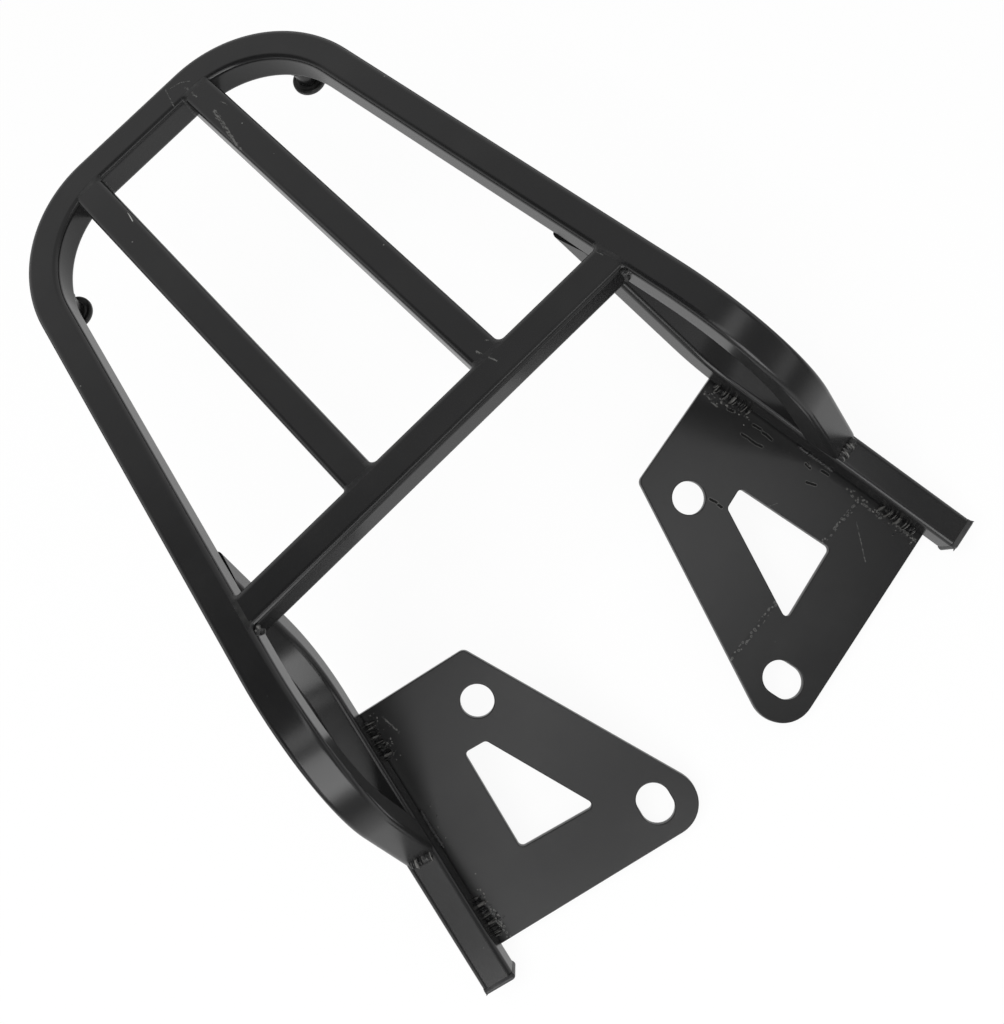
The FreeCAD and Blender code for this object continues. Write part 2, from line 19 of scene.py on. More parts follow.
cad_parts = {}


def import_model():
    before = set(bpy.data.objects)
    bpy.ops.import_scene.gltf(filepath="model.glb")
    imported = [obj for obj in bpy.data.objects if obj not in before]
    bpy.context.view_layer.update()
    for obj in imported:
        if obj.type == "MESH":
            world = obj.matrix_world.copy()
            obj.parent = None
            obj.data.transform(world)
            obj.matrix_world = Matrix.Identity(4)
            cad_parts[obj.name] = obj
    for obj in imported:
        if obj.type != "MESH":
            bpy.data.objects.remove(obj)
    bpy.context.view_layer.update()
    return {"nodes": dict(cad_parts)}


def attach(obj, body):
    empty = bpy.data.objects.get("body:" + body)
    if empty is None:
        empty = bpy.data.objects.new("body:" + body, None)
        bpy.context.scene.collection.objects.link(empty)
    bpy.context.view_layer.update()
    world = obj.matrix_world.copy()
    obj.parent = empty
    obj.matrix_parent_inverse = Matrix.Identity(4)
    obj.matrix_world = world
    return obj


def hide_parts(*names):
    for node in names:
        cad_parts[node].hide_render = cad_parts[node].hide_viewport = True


LOG = logging.getLogger("rack")
MM = 0.001
UP = np.array([0.0, 0.0, 1.0])
INSIDE_WALL = 0.9  # past this share of a tube's half width, a point is on the wall inside a bend
WHITE = (1.0, 1.0, 1.0, 1.0)
GLASSY = 1.5  # index of refraction of paint and plastic


class Side(Enum):
    """The two sides of the rack, with the sign of their X."""

    RIGHT = 1
    LEFT = -1

    @property
    def word(self) -> str:
        """The side's word, as the node names have it."""
        return self.name.lower()


def unit(vector: np.ndarray) -> np.ndarray:
    """A vector of length one along a given vector."""
    return vector / np.linalg.norm(vector)


def turned(vectors: np.ndarray, axis: np.ndarray, angles: np.ndarray) -> np.ndarray:
    """Vectors turned about an axis, by Rodrigues' formula.

    Each result is v cos a + (axis x v) sin a + axis (axis . v)(1 - cos a).

    Args:
        vectors: one vector, or one for each angle.
        axis: the unit axis.
        angles: the angles in radians.

    Returns:
        One turned vector for each angle.
    """
    cos, sin = np.cos(angles)[:, None], np.sin(angles)[:, None]
    vectors = np.broadcast_to(vectors, (len(angles), 3))
    along = (vectors @ axis)[:, None] * axis
    return vectors * cos + np.cross(axis, vectors) * sin + along * (1 - cos)


@dataclass
class Path:
    """A centre line with a frame at each station.

    Fields:
        points: positions in millimetres, one row for each station.
        across, above: the section's two axes at each station.
        bend: how much the line turns there, from 0 on a straight to 1 within a bend.
        inward: the direction to the middle of the bend.
    """

    points: np.ndarray
    across: np.ndarray
    above: np.ndarray
    bend: np.ndarray
    inward: np.ndarray

    @property
    def along(self) -> np.ndarray:
        """The direction of travel at each station."""
        return np.cross(self.across, self.above)


def bent_path(corners: Sequence[np.ndarray], radii: Sequence[float], across: np.ndarray,
              above: np.ndarray, arc_step: float = 2.0, pitch: float = 9.0) -> Path:
    """A path of straight runs with a round bend at each inner corner.

    A bend of turn a and radius r starts r tan(a/2) before its corner. Its stations are the start
    point turned about the bend's centre, and its frame is the run's frame turned the same way.

    Args:
        corners: the ends and the virtual corners, in millimetres.
        radii: the centre line's radius at each inner corner.
        across, above: the section's axes on the first run; their cross product is its direction.
        arc_step: degrees between stations in a bend.
        pitch: the greatest distance between stations on a straight.

    Returns:
        The path.
    """
    points, acrosses, aboves, bends, inwards = [], [], [], [], []

    def run(first: np.ndarray, last: np.ndarray) -> None:
        count = max(2, int(np.linalg.norm(last - first) / pitch) + 1)
        share = np.linspace(0, 1, count)[:, None]
        points.append(first + (last - first) * share)
        acrosses.append(np.repeat(across[None], count, 0))
        aboves.append(np.repeat(above[None], count, 0))
        bends.append(np.zeros(count))
        inwards.append(np.zeros((count, 3)))

    start = corners[0]
    for before, corner, after, radius in zip(corners, corners[1:], corners[2:], radii):
        arrive, leave = unit(corner - before), unit(after - corner)
        axis = unit(np.cross(arrive, leave))
        turn = math.acos(float(np.clip(arrive @ leave, -1, 1)))
        tangent = radius * math.tan(turn / 2)
        first = corner - arrive * tangent
        run(start, first)
        centre = first + np.cross(axis, arrive) * radius
        angles = np.linspace(0, turn, max(4, int(math.degrees(turn) / arc_step)))[1:-1]
        spokes = turned(first - centre, axis, angles)
        points.append(centre + spokes)
        acrosses.append(turned(across, axis, angles))
        aboves.append(turned(above, axis, angles))
        bends.append(np.clip(np.minimum(angles, turn - angles) / math.radians(9), 0, 1))
        inwards.append(-spokes / radius)
        end = np.array([turn])
        across, above = turned(across, axis, end)[0], turned(above, axis, end)[0]
        start = corner + leave * tangent
    run(start, corners[-1])
    stack = [np.concatenate(group) for group in (points, acrosses, aboves, bends, inwards)]
    keep = np.ones(len(stack[0]), bool)
    keep[1:] = np.linalg.norm(np.diff(stack[0], axis=0), axis=1) > 1e-6
    return Path(*[group[keep] for group in stack])


def rounded_square(size: float, corner: float, steps: int = 6, lead: float = 0.25) -> np.ndarray:
    """A closed outline of a square with round corners, anticlockwise.

    Each corner is a quarter circle; one more point a short lead before and after it keeps the
    flat sides flat when they are shaded.

    Args:
        size: the square's width in millimetres.
        corner: the corner's radius.
        steps: the points on each quarter circle.
        lead: the distance from a quarter circle to its extra points.

    Returns:
        One row for each point, in the section's two axes.
    """
    inner = size / 2 - corner
    angles = np.linspace(0, math.pi / 2, steps)
    quarter = inner + corner * np.stack([np.cos(angles), np.sin(angles)], 1)
    before = np.array([[size / 2, inner - lead]])
    after = np.array([[inner - lead, size / 2]])
    quarter = np.concatenate([before, quarter, after])
    turn = np.array([[0.0, 1.0], [-1.0, 0.0]])
    return np.concatenate([quarter @ np.linalg.matrix_power(turn, k) for k in range(4)])


def around(count: int) -> np.ndarray:
    """Equal angles once round, from 0."""
    return np.linspace(0, 2 * math.pi, count, endpoint=False)


def grid_faces(rows: int, columns: int, closed_rows: bool = False) -> np.ndarray:
    """The four-cornered faces of a grid whose columns close into rings.

    Args:
        rows: the number of rings.
        columns: the points on each ring.
        closed_rows: whether the last ring joins the first.

    Returns:
        One row of four indices for each face.
    """
    last = rows if closed_rows else rows - 1
    ring, spot = np.meshgrid(np.arange(last), np.arange(columns), indexing="ij")
    here = ring * columns + spot
    beside = ring * columns + (spot + 1) % columns
    above = ((ring + 1) % rows) * columns + spot
    above_beside = ((ring + 1) % rows) * columns + (spot + 1) % columns
    return np.stack([here, beside, above_beside, above], -1).reshape(-1, 4)


@dataclass
class Skin:
    """One closed surface.

    Fields:
        points: positions in millimetres.
        quads: the four-cornered faces.
        ends: the faces with more corners that close it.
        bare_and_highlit: how thin the paint is at each point, and how much painted highlight it carries there,
            from 0 to 1, or None for even paint.
    """

    points: np.ndarray
    quads: np.ndarray
    ends: list[list[int]]
    bare_and_highlit: np.ndarray | None = None

    def facing_out(self) -> "Skin":
        """The same skin with every face outwards, by the sign of the volume that it holds."""
        a, b, c, d = (self.points[self.quads[:, k]] for k in range(4))
        middle = self.points.mean(0)
        volume = np.einsum("ij,ij->i", (a + b + c + d) / 4 - middle, np.cross(c - a, d - b)).sum()
        if volume > 0:
            return self
        return Skin(self.points, self.quads[:, ::-1], [end[::-1] for end in self.ends], self.bare_and_highlit)


def closed_grid(grid: np.ndarray, bare_and_highlit: np.ndarray | None = None) -> Skin:
    """The skin of a grid of rings, closed by one face at each end.

    Args:
        grid: positions in millimetres, by ring and by point of the ring.
        bare_and_highlit: how thin the paint is at each point, and how much painted highlight it carries there,
            or None for even paint.

    Returns:
        The skin, facing outwards.
    """
    rows, columns = grid.shape[:2]
    count = rows * columns
    ends = [list(range(columns))[::-1], list(range(count - columns, count))]
    return Skin(grid.reshape(-1, 3), grid_faces(rows, columns), ends, bare_and_highlit).facing_out()


def add_to_rack(piece: bpy.types.Object, stands_for: Sequence[str]) -> bpy.types.Object:
    """Puts an object in the scene, riding on the rack in place of some nodes."""
    bpy.context.scene.collection.objects.link(piece)
    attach(piece, "root")
    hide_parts(*stands_for)
    LOG.info("%s: %d faces for %s", piece.name, len(piece.data.polygons), ", ".join(stands_for))
    return piece


def make_piece(name: str, skins: Sequence[Skin], stands_for: Sequence[str],
               sharp: float = 38.0) -> bpy.types.Object:
    """An object from closed skins, riding on the rack.

    Args:
        name: the object's name.
        skins: the skins.
        stands_for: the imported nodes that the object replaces.
        sharp: the angle in degrees past which an edge is shaded sharp.

    Returns:
        The object.
    """
    faces, base = [], 0
    for skin in skins:
        faces += (skin.quads + base).tolist() + [[index + base for index in end] for end in skin.ends]
        base += len(skin.points)
    mesh = bpy.data.meshes.new(name)
    mesh.from_pydata(np.concatenate([skin.points for skin in skins]) * MM, [], faces)
    mesh.update()
    mesh.shade_smooth()
    mesh.set_sharp_from_angle(angle=math.radians(sharp))
    # each point's worn paint and painted highlight, carried to the shader
    bare_and_highlit = [np.zeros(len(skin.points)) if skin.bare_and_highlit is None else skin.bare_and_highlit for skin in skins]
    mesh.attributes.new("bare_and_highlit", "FLOAT", "POINT").data.foreach_set("value", np.concatenate(bare_and_highlit))
    return add_to_rack(bpy.data.objects.new(name, mesh), stands_for)


@dataclass(frozen=True)
class Cut:
    """A plane that ends a tube: a point of it and its normal."""

    point: np.ndarray
    normal: np.ndarray


def swept_tube(path: Path, outline: np.ndarray, first: Cut, last: Cut,
               dent: float = 0.0) -> Skin:
    """The skin of a tube: an outline carried along a path, ended by two planes.

    A point is the station plus its outline's two coordinates along the station's axes. In a bend,
    the wall on the inside is drawn in by the dent times the square of the cosine across it.

    Args:
        path: the centre line.
        outline: the section's points.
        first, last: the planes that the two ends are slid along their own run to meet.
        dent: how far a bend's inside wall is drawn in, in millimetres.

    Returns:
        The skin.
    """
    grid = (path.points[:, None] + outline[None, :, :1] * path.across[:, None]
            + outline[None, :, 1:] * path.above[:, None])
    if dent:
        half = outline.max()
        toward = np.einsum("rkj,rj->rk", grid - path.points[:, None], path.inward)
        side = np.cross(path.along, path.inward)
        aside = np.einsum("rkj,rj->rk", grid - path.points[:, None], side)
        wall = np.clip((toward / half - INSIDE_WALL) / (1 - INSIDE_WALL), 0, 1)
        hollow = np.cos(np.clip(aside / half, -1, 1) * math.pi / 2) ** 2
        grid = grid - path.inward[:, None] * (wall * hollow * path.bend[:, None] * dent)[..., None]
    for row, cut in ((0, first), (-1, last)):
        run = path.along[row]
        reach = (grid[row] - cut.point) @ cut.normal / (run @ cut.normal)
        grid[row] = grid[row] - reach[:, None] * run
    return closed_grid(grid)


def turned_skin(profile: np.ndarray, foot: np.ndarray, columns: int = 64) -> Skin:
    """A shape turned about an upright axis.

    Each point of the profile goes round as (r cos a, r sin a) at its height.

    Args:
        profile: the radius and the height above the foot, one row for each ring.
        foot: the point of the axis that heights are measured from.
        columns: the points on each ring.

    Returns:
        The skin.
    """
    angles = around(columns)
    circle = np.stack([np.cos(angles), np.sin(angles), np.zeros(columns)], 1)
    grid = foot + profile[:, None, :1] * circle + profile[:, None, 1:] * UP
    return closed_grid(grid)


def meet(point_a: np.ndarray, line_a: np.ndarray, point_b: np.ndarray, line_b: np.ndarray) -> np.ndarray:
    """The point where two lines of one level plane cross."""
    across = np.array([-line_b[1], line_b[0], 0.0])
    return point_a + line_a * ((point_b - point_a) @ across / (line_a @ across))


@dataclass
class Sizes:
    """The rack's sizes in millimetres and degrees.

    They are those of the solids, but for the tubes' edges, which are a little rounder here.
    """

    tube: float = 16.0
    tube_corner: float = 2.6
    hoop_x: dict[Side, float] = field(default_factory=lambda: {Side.RIGHT: 122.1, Side.LEFT: 124.9})
    hoop_taper: dict[Side, float] = field(default_factory=lambda: {Side.RIGHT: 7.7, Side.LEFT: 9.2})
    hoop_rear_y: float = 233.7
    hoop_rear_skew: float = 0.46
    hoop_corner: float = 66.0
    hoop_bend_start: float = 22.5
    hoop_bend: float = 66.0
    crossbar_skew: float = 0.75
    bar_front: dict[Side, float] = field(default_factory=lambda: {Side.RIGHT: 39.4, Side.LEFT: 35.9})
    bar_rear: dict[Side, float] = field(default_factory=lambda: {Side.RIGHT: 34.9, Side.LEFT: 36.7})
    rail_datum: tuple[float, float, float] = (151.3, -120.0, -119.4)
    rail_yaw: float = 14.3
    rail_pitch: float = 23.4
    rail_front: float = 49.5
    rail_toe: dict[Side, float] = field(default_factory=lambda: {Side.RIGHT: 2.2, Side.LEFT: 1.0})
    rail_knee: dict[Side, float] = field(default_factory=lambda: {Side.RIGHT: 96.0, Side.LEFT: 126.0})
    rail_knee_radius: float = 70.0
    rail_root_pitch: dict[Side, float] = field(default_factory=lambda: {Side.RIGHT: 49.5, Side.LEFT: 60.0})
    rail_root_yaw: dict[Side, float] = field(default_factory=lambda: {Side.RIGHT: 13.6, Side.LEFT: 7.3})
    rail_landing: float = 29.0
    post_angle: dict[Side, float] = field(default_factory=lambda: {Side.RIGHT: 34.0, Side.LEFT: 26.0})
    post_length: float = 12.0
    post_radius: float = 5.5
    foot_radius: float = 8.6
    foot_thickness: float = 3.0
    cap_flange: float = 3.0

    @property
    def half(self) -> float:
        """Half the tube's width."""
        return self.tube / 2


class Rail:
    """One lower rail: its own directions, and points given along, inwards from and above it."""

    def __init__(self, sizes: Sizes, side: Side) -> None:
        """Works out the rail's directions.

        Args:
            sizes: the rack's sizes.
            side: the side that the rail is on.
        """
        yaw, pitch = math.radians(sizes.rail_yaw), math.radians(sizes.rail_pitch)
        toe = math.radians(sizes.rail_toe[side])
        root_yaw = math.radians(sizes.rail_root_yaw[side])
        root_pitch = math.radians(sizes.rail_root_pitch[side])
        level = np.array([-side.value * math.sin(yaw), math.cos(yaw), 0.0])
        root_level = np.array([-side.value * math.sin(root_yaw), math.cos(root_yaw), 0.0])
        self.side = side
        self.sizes = sizes
        self.seat_along = level * math.cos(pitch) + UP * math.sin(pitch)
        self.seat_outward = np.array([side.value * math.cos(yaw), math.sin(yaw), 0.0])
        self.along = self.seat_along * math.cos(toe) + self.seat_outward * math.sin(toe)
        self.outward = self.seat_outward * math.cos(toe) - self.seat_along * math.sin(toe)
        self.up = UP * math.cos(pitch) - level * math.sin(pitch)
        self.climb = root_level * math.cos(root_pitch) + UP * math.sin(root_pitch)
        x, y, z = sizes.rail_datum
        self.datum = np.array([side.value * x, y, z])

    def at(self, along: float, across: float, height: float) -> np.ndarray:
        """A point given along the rail, inwards from its outer face and up from its top face."""
        return self.datum + self.along * along - self.outward * across + self.up * height

    def seat(self, along: float, across: float, height: float) -> np.ndarray:
        """A point given in the same way in the frame of the plate, which has no toe."""
        return self.datum + self.seat_along * along - self.seat_outward * across + self.up * height

    def root(self) -> np.ndarray:
        """The centre line's point in the underside of the hoop."""
        knee = self.at(self.sizes.rail_knee[self.side], self.sizes.half, -self.sizes.half)
        return knee + self.climb * ((-self.sizes.tube - knee[2]) / self.climb[2])


class HoopSide:
    """One side of the hoop: its outer face, its turn down and its landing on the rail."""

    def __init__(self, sizes: Sizes, side: Side, rail: Rail) -> None:
        """Works out the side's lines.

        Args:
            sizes: the rack's sizes.
            side: the side of the rack.
            rail: the rail that this side lands on.
        """
        taper = math.radians(sizes.hoop_taper[side])
        self.side = side
        self.forward = np.array([side.value * math.sin(taper), -math.cos(taper), 0.0])
        self.outward = np.array([side.value * math.cos(taper), math.sin(taper), 0.0])
        self.outer = np.array([side.value * sizes.hoop_x[side], 0.0, 0.0])
        self.centre = self.outer - (self.outward + UP) * sizes.half
        self.inner = self.outer - self.outward * sizes.tube
        bend_start = self.centre + self.forward * (sizes.hoop_bend_start / math.cos(taper))
        self.landing = rail.at(sizes.rail_landing, sizes.half, 0.0)
        reach = self.landing - bend_start
        run = float(reach @ self.forward)
        self.down = unit(reach - self.forward * run)
        drop = float(reach @ self.down)
        radius = sizes.hoop_bend
        distance = math.hypot(run, drop - radius)
        self.turn = math.atan2(drop - radius, run) + math.pi / 2 - math.acos(radius / distance)
        self.knee = bend_start + self.forward * (radius * math.tan(self.turn / 2))
        self.drop = self.forward * math.cos(self.turn) + self.down * math.sin(self.turn)


class Rack:
    """The whole rack's lines, shared by every piece."""

    def __init__(self, sizes: Sizes) -> None:
        """Works out every line from the sizes.

        Args:
            sizes: the rack's sizes.
        """
        self.sizes = sizes
        self.rails = {side: Rail(sizes, side) for side in Side}
        self.sides = {side: HoopSide(sizes, side, self.rails[side]) for side in Side}
        skew = math.radians(sizes.hoop_rear_skew)
        self.rear_line = np.array([math.cos(skew), math.sin(skew), 0.0])
        self.rear_outward = np.array([-math.sin(skew), math.cos(skew), 0.0])
        self.rear_outer = np.array([0.0, sizes.hoop_rear_y, 0.0])
        self.rear_inner = self.rear_outer - self.rear_outward * sizes.tube
        skew = math.radians(sizes.crossbar_skew)
        self.cross_line = np.array([math.cos(skew), math.sin(skew), 0.0])
        self.cross_outward = np.array([-math.sin(skew), math.cos(skew), 0.0])
        self.outline = rounded_square(sizes.tube, sizes.tube_corner)

    def post_centre(self, side: Side) -> np.ndarray:
        """The point of the hoop's underside where one post stands."""
        sizes, line = self.sizes, self.sides[side]
        inset = line.outer - line.outward * sizes.hoop_corner
        rear = self.rear_outer - self.rear_outward * sizes.hoop_corner
        centre = meet(inset, line.forward, rear, self.rear_line)
        angle = math.radians(sizes.post_angle[side])
        spoke = np.array([side.value * math.cos(angle), math.sin(angle), 0.0])
        return centre + spoke * (sizes.hoop_corner - sizes.half) - UP * sizes.tube

    def bar_line(self, side: Side) -> tuple[np.ndarray, np.ndarray]:
        """The two ends of one long bar's centre line."""
        sizes, half = self.sizes, self.sizes.half
        front = np.array([side.value * sizes.bar_front[side], half, -half])
        rear = np.array([side.value * sizes.bar_rear[side], sizes.hoop_rear_y - sizes.tube, -half])
        return front, rear


class Work:
    """A group of pieces that are made from the rack's lines."""

    def __init__(self, rack: Rack) -> None:
        """Keeps the rack's lines."""
        self.rack = rack


class TubeWork(Work):
    """The six lengths of square tube, with how far a bend draws in its inside wall."""

    hoop_dent = 0.45
    rail_dent = 0.35

    def hoop(self) -> bpy.types.Object:
        """The hoop, from the right rail round the rear to the left rail."""
        rack, sizes = self.rack, self.rack.sizes
        right, left = rack.sides[Side.RIGHT], rack.sides[Side.LEFT]
        rear = rack.rear_outer - (rack.rear_outward + UP) * sizes.half
        right_corner = meet(right.centre, right.forward, rear, rack.rear_line)
        left_corner = meet(left.centre, left.forward, rear, rack.rear_line)
        radius = sizes.hoop_corner - sizes.half
        axis = unit(np.cross(-right.drop, -right.forward))
        back = np.array([-right.turn])
        across, above = (turned(way, axis, back)[0] for way in (right.outward, -UP))
        path = bent_path([right.landing, right.knee, right_corner, left_corner, left.knee, left.landing],
                         [sizes.hoop_bend, radius, radius, sizes.hoop_bend], across, above)
        cuts = [Cut(rack.rails[side].at(sizes.rail_landing, sizes.half, 0.0), rack.rails[side].up)
                for side in (Side.RIGHT, Side.LEFT)]
        skin = swept_tube(path, rack.outline, *cuts, dent=self.hoop_dent)
        return make_piece("hoop_skin", [skin], ["hoop"])

    def straight(self, name: str, first: np.ndarray, last: np.ndarray,
                 cuts: Sequence[Cut]) -> bpy.types.Object:
        """A straight length that stands for one node.

        Args:
            name: the node.
            first, last: the ends of its centre line.
            cuts: the planes of its two ends.

        Returns:
            The object.
        """
        run = unit(last - first)
        path = bent_path([first, last], [], unit(np.cross(UP, run)), UP)
        return make_piece(name + "_skin", [swept_tube(path, self.rack.outline, *cuts)], [name])

    def crossbar(self) -> bpy.types.Object:
        """The crossbar, between the inner faces of the hoop's sides."""
        rack = self.rack
        centre = UP * -rack.sizes.half
        lines = [rack.sides[side] for side in (Side.LEFT, Side.RIGHT)]
        ends = [meet(centre, rack.cross_line, line.inner, line.forward) for line in lines]
        return self.straight("crossbar", *ends, [Cut(line.inner, line.outward) for line in lines])

    def bar(self, side: Side) -> bpy.types.Object:
        """One long bar, from the crossbar to the rear of the hoop."""
        rack = self.rack
        front, rear = rack.bar_line(side)
        cuts = [Cut(rack.cross_outward * rack.sizes.half, rack.cross_outward),
                Cut(rack.rear_inner, rack.rear_outward)]
        return self.straight(side.word + "_bar", front, rear, cuts)

    def rail(self, side: Side) -> bpy.types.Object:
        """One lower rail, with its knee."""
        rail, sizes = self.rack.rails[side], self.rack.sizes
        start = rail.at(-sizes.rail_front, sizes.half, -sizes.half)
        knee = rail.at(sizes.rail_knee[side], sizes.half, -sizes.half)
        root = rail.root()
        across = np.cross(rail.up, rail.along)
        path = bent_path([start, knee, root], [sizes.rail_knee_radius], across, rail.up)
        cuts = [Cut(start, rail.along), Cut(root, UP)]
        name = side.word + "_rail"
        skin = swept_tube(path, self.rack.outline, *cuts, dent=self.rail_dent)
        return make_piece(name + "_skin", [skin], [name])

    def build(self) -> list[bpy.types.Object]:
        """Every length of tube."""
        pieces = [self.hoop(), self.crossbar()]
        for side in Side:
            pieces += [self.bar(side), self.rail(side)]
        return pieces


@dataclass(frozen=True)
class Seam:
    """A weld seam.

    Fields:
        first, last: its ends.
        face: the way that the bead faces.
        radius: how thick the bead is.
        ripple: the distance from one ripple to the next.
        lumps: how uneven it is, as a share of its radius.
        bare_and_highlit: how much paint the ridges have lost, and how much painted highlight they carry.
        seed: the seed of its unevenness.
        crest: how high the ripples stand, as a share of its radius.
    """

    first: np.ndarray
    last: np.ndarray
    face: np.ndarray
    radius: float
    ripple: float = 1.5
    lumps: float = 0.12
    bare_and_highlit: float = 0.5
    seed: int = 0
    crest: float = 0.14


def uneven(along: np.ndarray, angle: np.ndarray, draw: np.random.Generator) -> np.ndarray:
    """A rough height between about -1 and 1, as a sum of eight waves along and round a bead.

    Wave k is the sine of the length over its own pitch plus a whole number of turns round.
    """
    total = np.zeros(np.broadcast(along, angle).shape)
    for pitch, turns in zip((5.1, 3.4, 2.6, 1.9, 1.4, 1.1, 0.8, 0.6), (0, 1, 2, 1, 3, 2, 4, 3)):
        phase = draw.uniform(0, 2 * math.pi)
        total = total + np.sin(2 * math.pi * along / pitch + turns * angle + phase) * (pitch / 5.1) ** 0.5
    return total / 3.2


def bead_skin(seam: Seam) -> Skin:
    """The skin of one weld bead, with the ripples that its pool left.

    The radius at a share s of the length and an angle a round it is the bead's radius, times the
    square root of 1 - |2s - 1|^n for round ends, times 1 plus a ripple that follows the absolute
    sine of the length less a bow of the angle, plus the rough height times the lumps.

    Args:
        seam: the seam.

    Returns:
        The skin.
    """
    draw = np.random.default_rng(seam.seed)
    length = float(np.linalg.norm(seam.last - seam.first))
    rows, columns = max(28, int(length * 7)), 30
    share = np.linspace(0, 1, rows)[:, None]
    angle = around(columns)[None]
    run = unit(seam.last - seam.first)
    face = unit(seam.face - run * (seam.face @ run))
    side = np.cross(run, face)
    ends = np.clip(1 - np.abs(2 * share - 1) ** (2 + length / 2), 0.0004, 1) ** 0.5
    drift = 0.35 * np.sin(share * length / 2.7 + draw.uniform(0, 6)) + 0.2 * np.sin(share * length / 1.1)
    wave = share * length / seam.ripple + drift + 0.45 * np.cos(angle) + draw.uniform()
    crest = np.abs(np.sin(math.pi * wave))
    rough = uneven(share * length, angle, draw)
    radius = seam.radius * ends * (1 - seam.crest / 2 + seam.crest * crest + seam.lumps * rough)
    sway = 0.12 * seam.radius * np.sin(share * length / 3.1 + draw.uniform(0, 6))
    centre = seam.first + (seam.last - seam.first) * share
    grid = (centre[:, None] + (radius * np.cos(angle))[..., None] * face
            + (radius * np.sin(angle) + sway)[..., None] * side)
    # worn paint and a painted highlight, on the crests of the ripples and the high lumps
    bare_and_highlit = seam.bare_and_highlit * np.clip(0.8 * crest - 0.75 + 1.3 * rough, 0, 1)
    return closed_grid(grid, bare_and_highlit.ravel())


def spatter_skins(centres: np.ndarray, radii: np.ndarray, up: np.ndarray, seed: int) -> list[Skin]:
    """Small flattened drops of metal that lie on a surface.

    Each drop is a globe squashed to 0.55 of its height, its radius varied by a slow wave round it.

    Args:
        centres: where the drops lie.
        radii: how wide they are.
        up: the way that the surface faces.
        seed: the seed of their shapes.

    Returns:
        One skin for each drop.
    """
    draw = np.random.default_rng(seed)
    rings, spots, pole = 6, 9, 0.06
    tilt = np.linspace(pole, math.pi - pole, rings)[:, None]
    angle = around(spots)[None]
    across = unit(np.cross(up, np.array([0.3, 1.0, 0.1])))
    beside = np.cross(up, across)
    skins = []
    for centre, radius in zip(centres, radii):
        wide = radius * np.sin(tilt) * (1 + 0.25 * np.sin(2 * angle + draw.uniform(0, 6)))
        grid = (centre + (wide * np.cos(angle))[..., None] * across
                + (wide * np.sin(angle))[..., None] * beside
                + (0.55 * radius * np.cos(tilt) * np.ones_like(angle))[..., None] * up)
        # each drop's worn paint and painted highlight, at a random level
        skins.append(closed_grid(grid, np.full(rings * spots, draw.uniform(0, 0.9) ** 2)))
    return skins


@dataclass(frozen=True)
class Corner:
    """An inside corner between two tubes whose tops are flush, filled and ground.

    Fields:
        point: the corner, at the level of the tops.
        first, second: the ways that the two faces run from it.
        leg: how far the filling reaches along each face.
        seed: the seed of its unevenness.
    """

    point: np.ndarray
    first: np.ndarray
    second: np.ndarray
    leg: float
    seed: int


def corner_skin(corner: Corner, edge: float, depth: float) -> Skin:
    """The filling of an inside corner, hollow towards the opening and ground flush on top.

    In the skewed axes of the two faces, a point is the corner plus the leg along both, less a
    distance r times (sine a, cosine a). Up the face r is the leg less its ripples, then r grows
    along a quarter circle as the tubes' own edges do, and the top runs level into the tubes.

    Args:
        corner: the corner.
        edge: the radius of the tubes' edges.
        depth: how far down the filling goes.

    Returns:
        The skin.
    """
    draw = np.random.default_rng(corner.seed)
    turn = np.linspace(0, math.pi / 2, 13)[:, None]
    face_z = np.linspace(-depth, -edge, 26)
    arc = np.linspace(0, math.pi / 2, 6)[1:]
    inner = corner.leg + edge + 2.4
    reach = np.concatenate([[inner], np.full(26, corner.leg), corner.leg + edge * (1 - np.cos(arc)), [inner]])
    level = np.concatenate([[-depth], face_z, -edge + edge * np.sin(arc) - 0.004, [-0.004]])
    ripple = np.zeros_like(reach)
    ripple[1:27] = 0.22 * np.abs(np.sin(math.pi * face_z / 1.7)) * np.clip((-edge - face_z) / 1.5, 0, 1)
    rough = 0.16 * uneven(level[None], 2 * turn, draw) * (ripple[None] > 0)
    reach = reach[None] - (ripple[None] + rough) * np.sin(2 * turn)
    base = corner.point + (corner.first + corner.second) * corner.leg
    grid = (base - (reach * np.sin(turn))[..., None] * corner.first
            - (reach * np.cos(turn))[..., None] * corner.second + level[None, :, None] * UP)
    return closed_grid(grid)


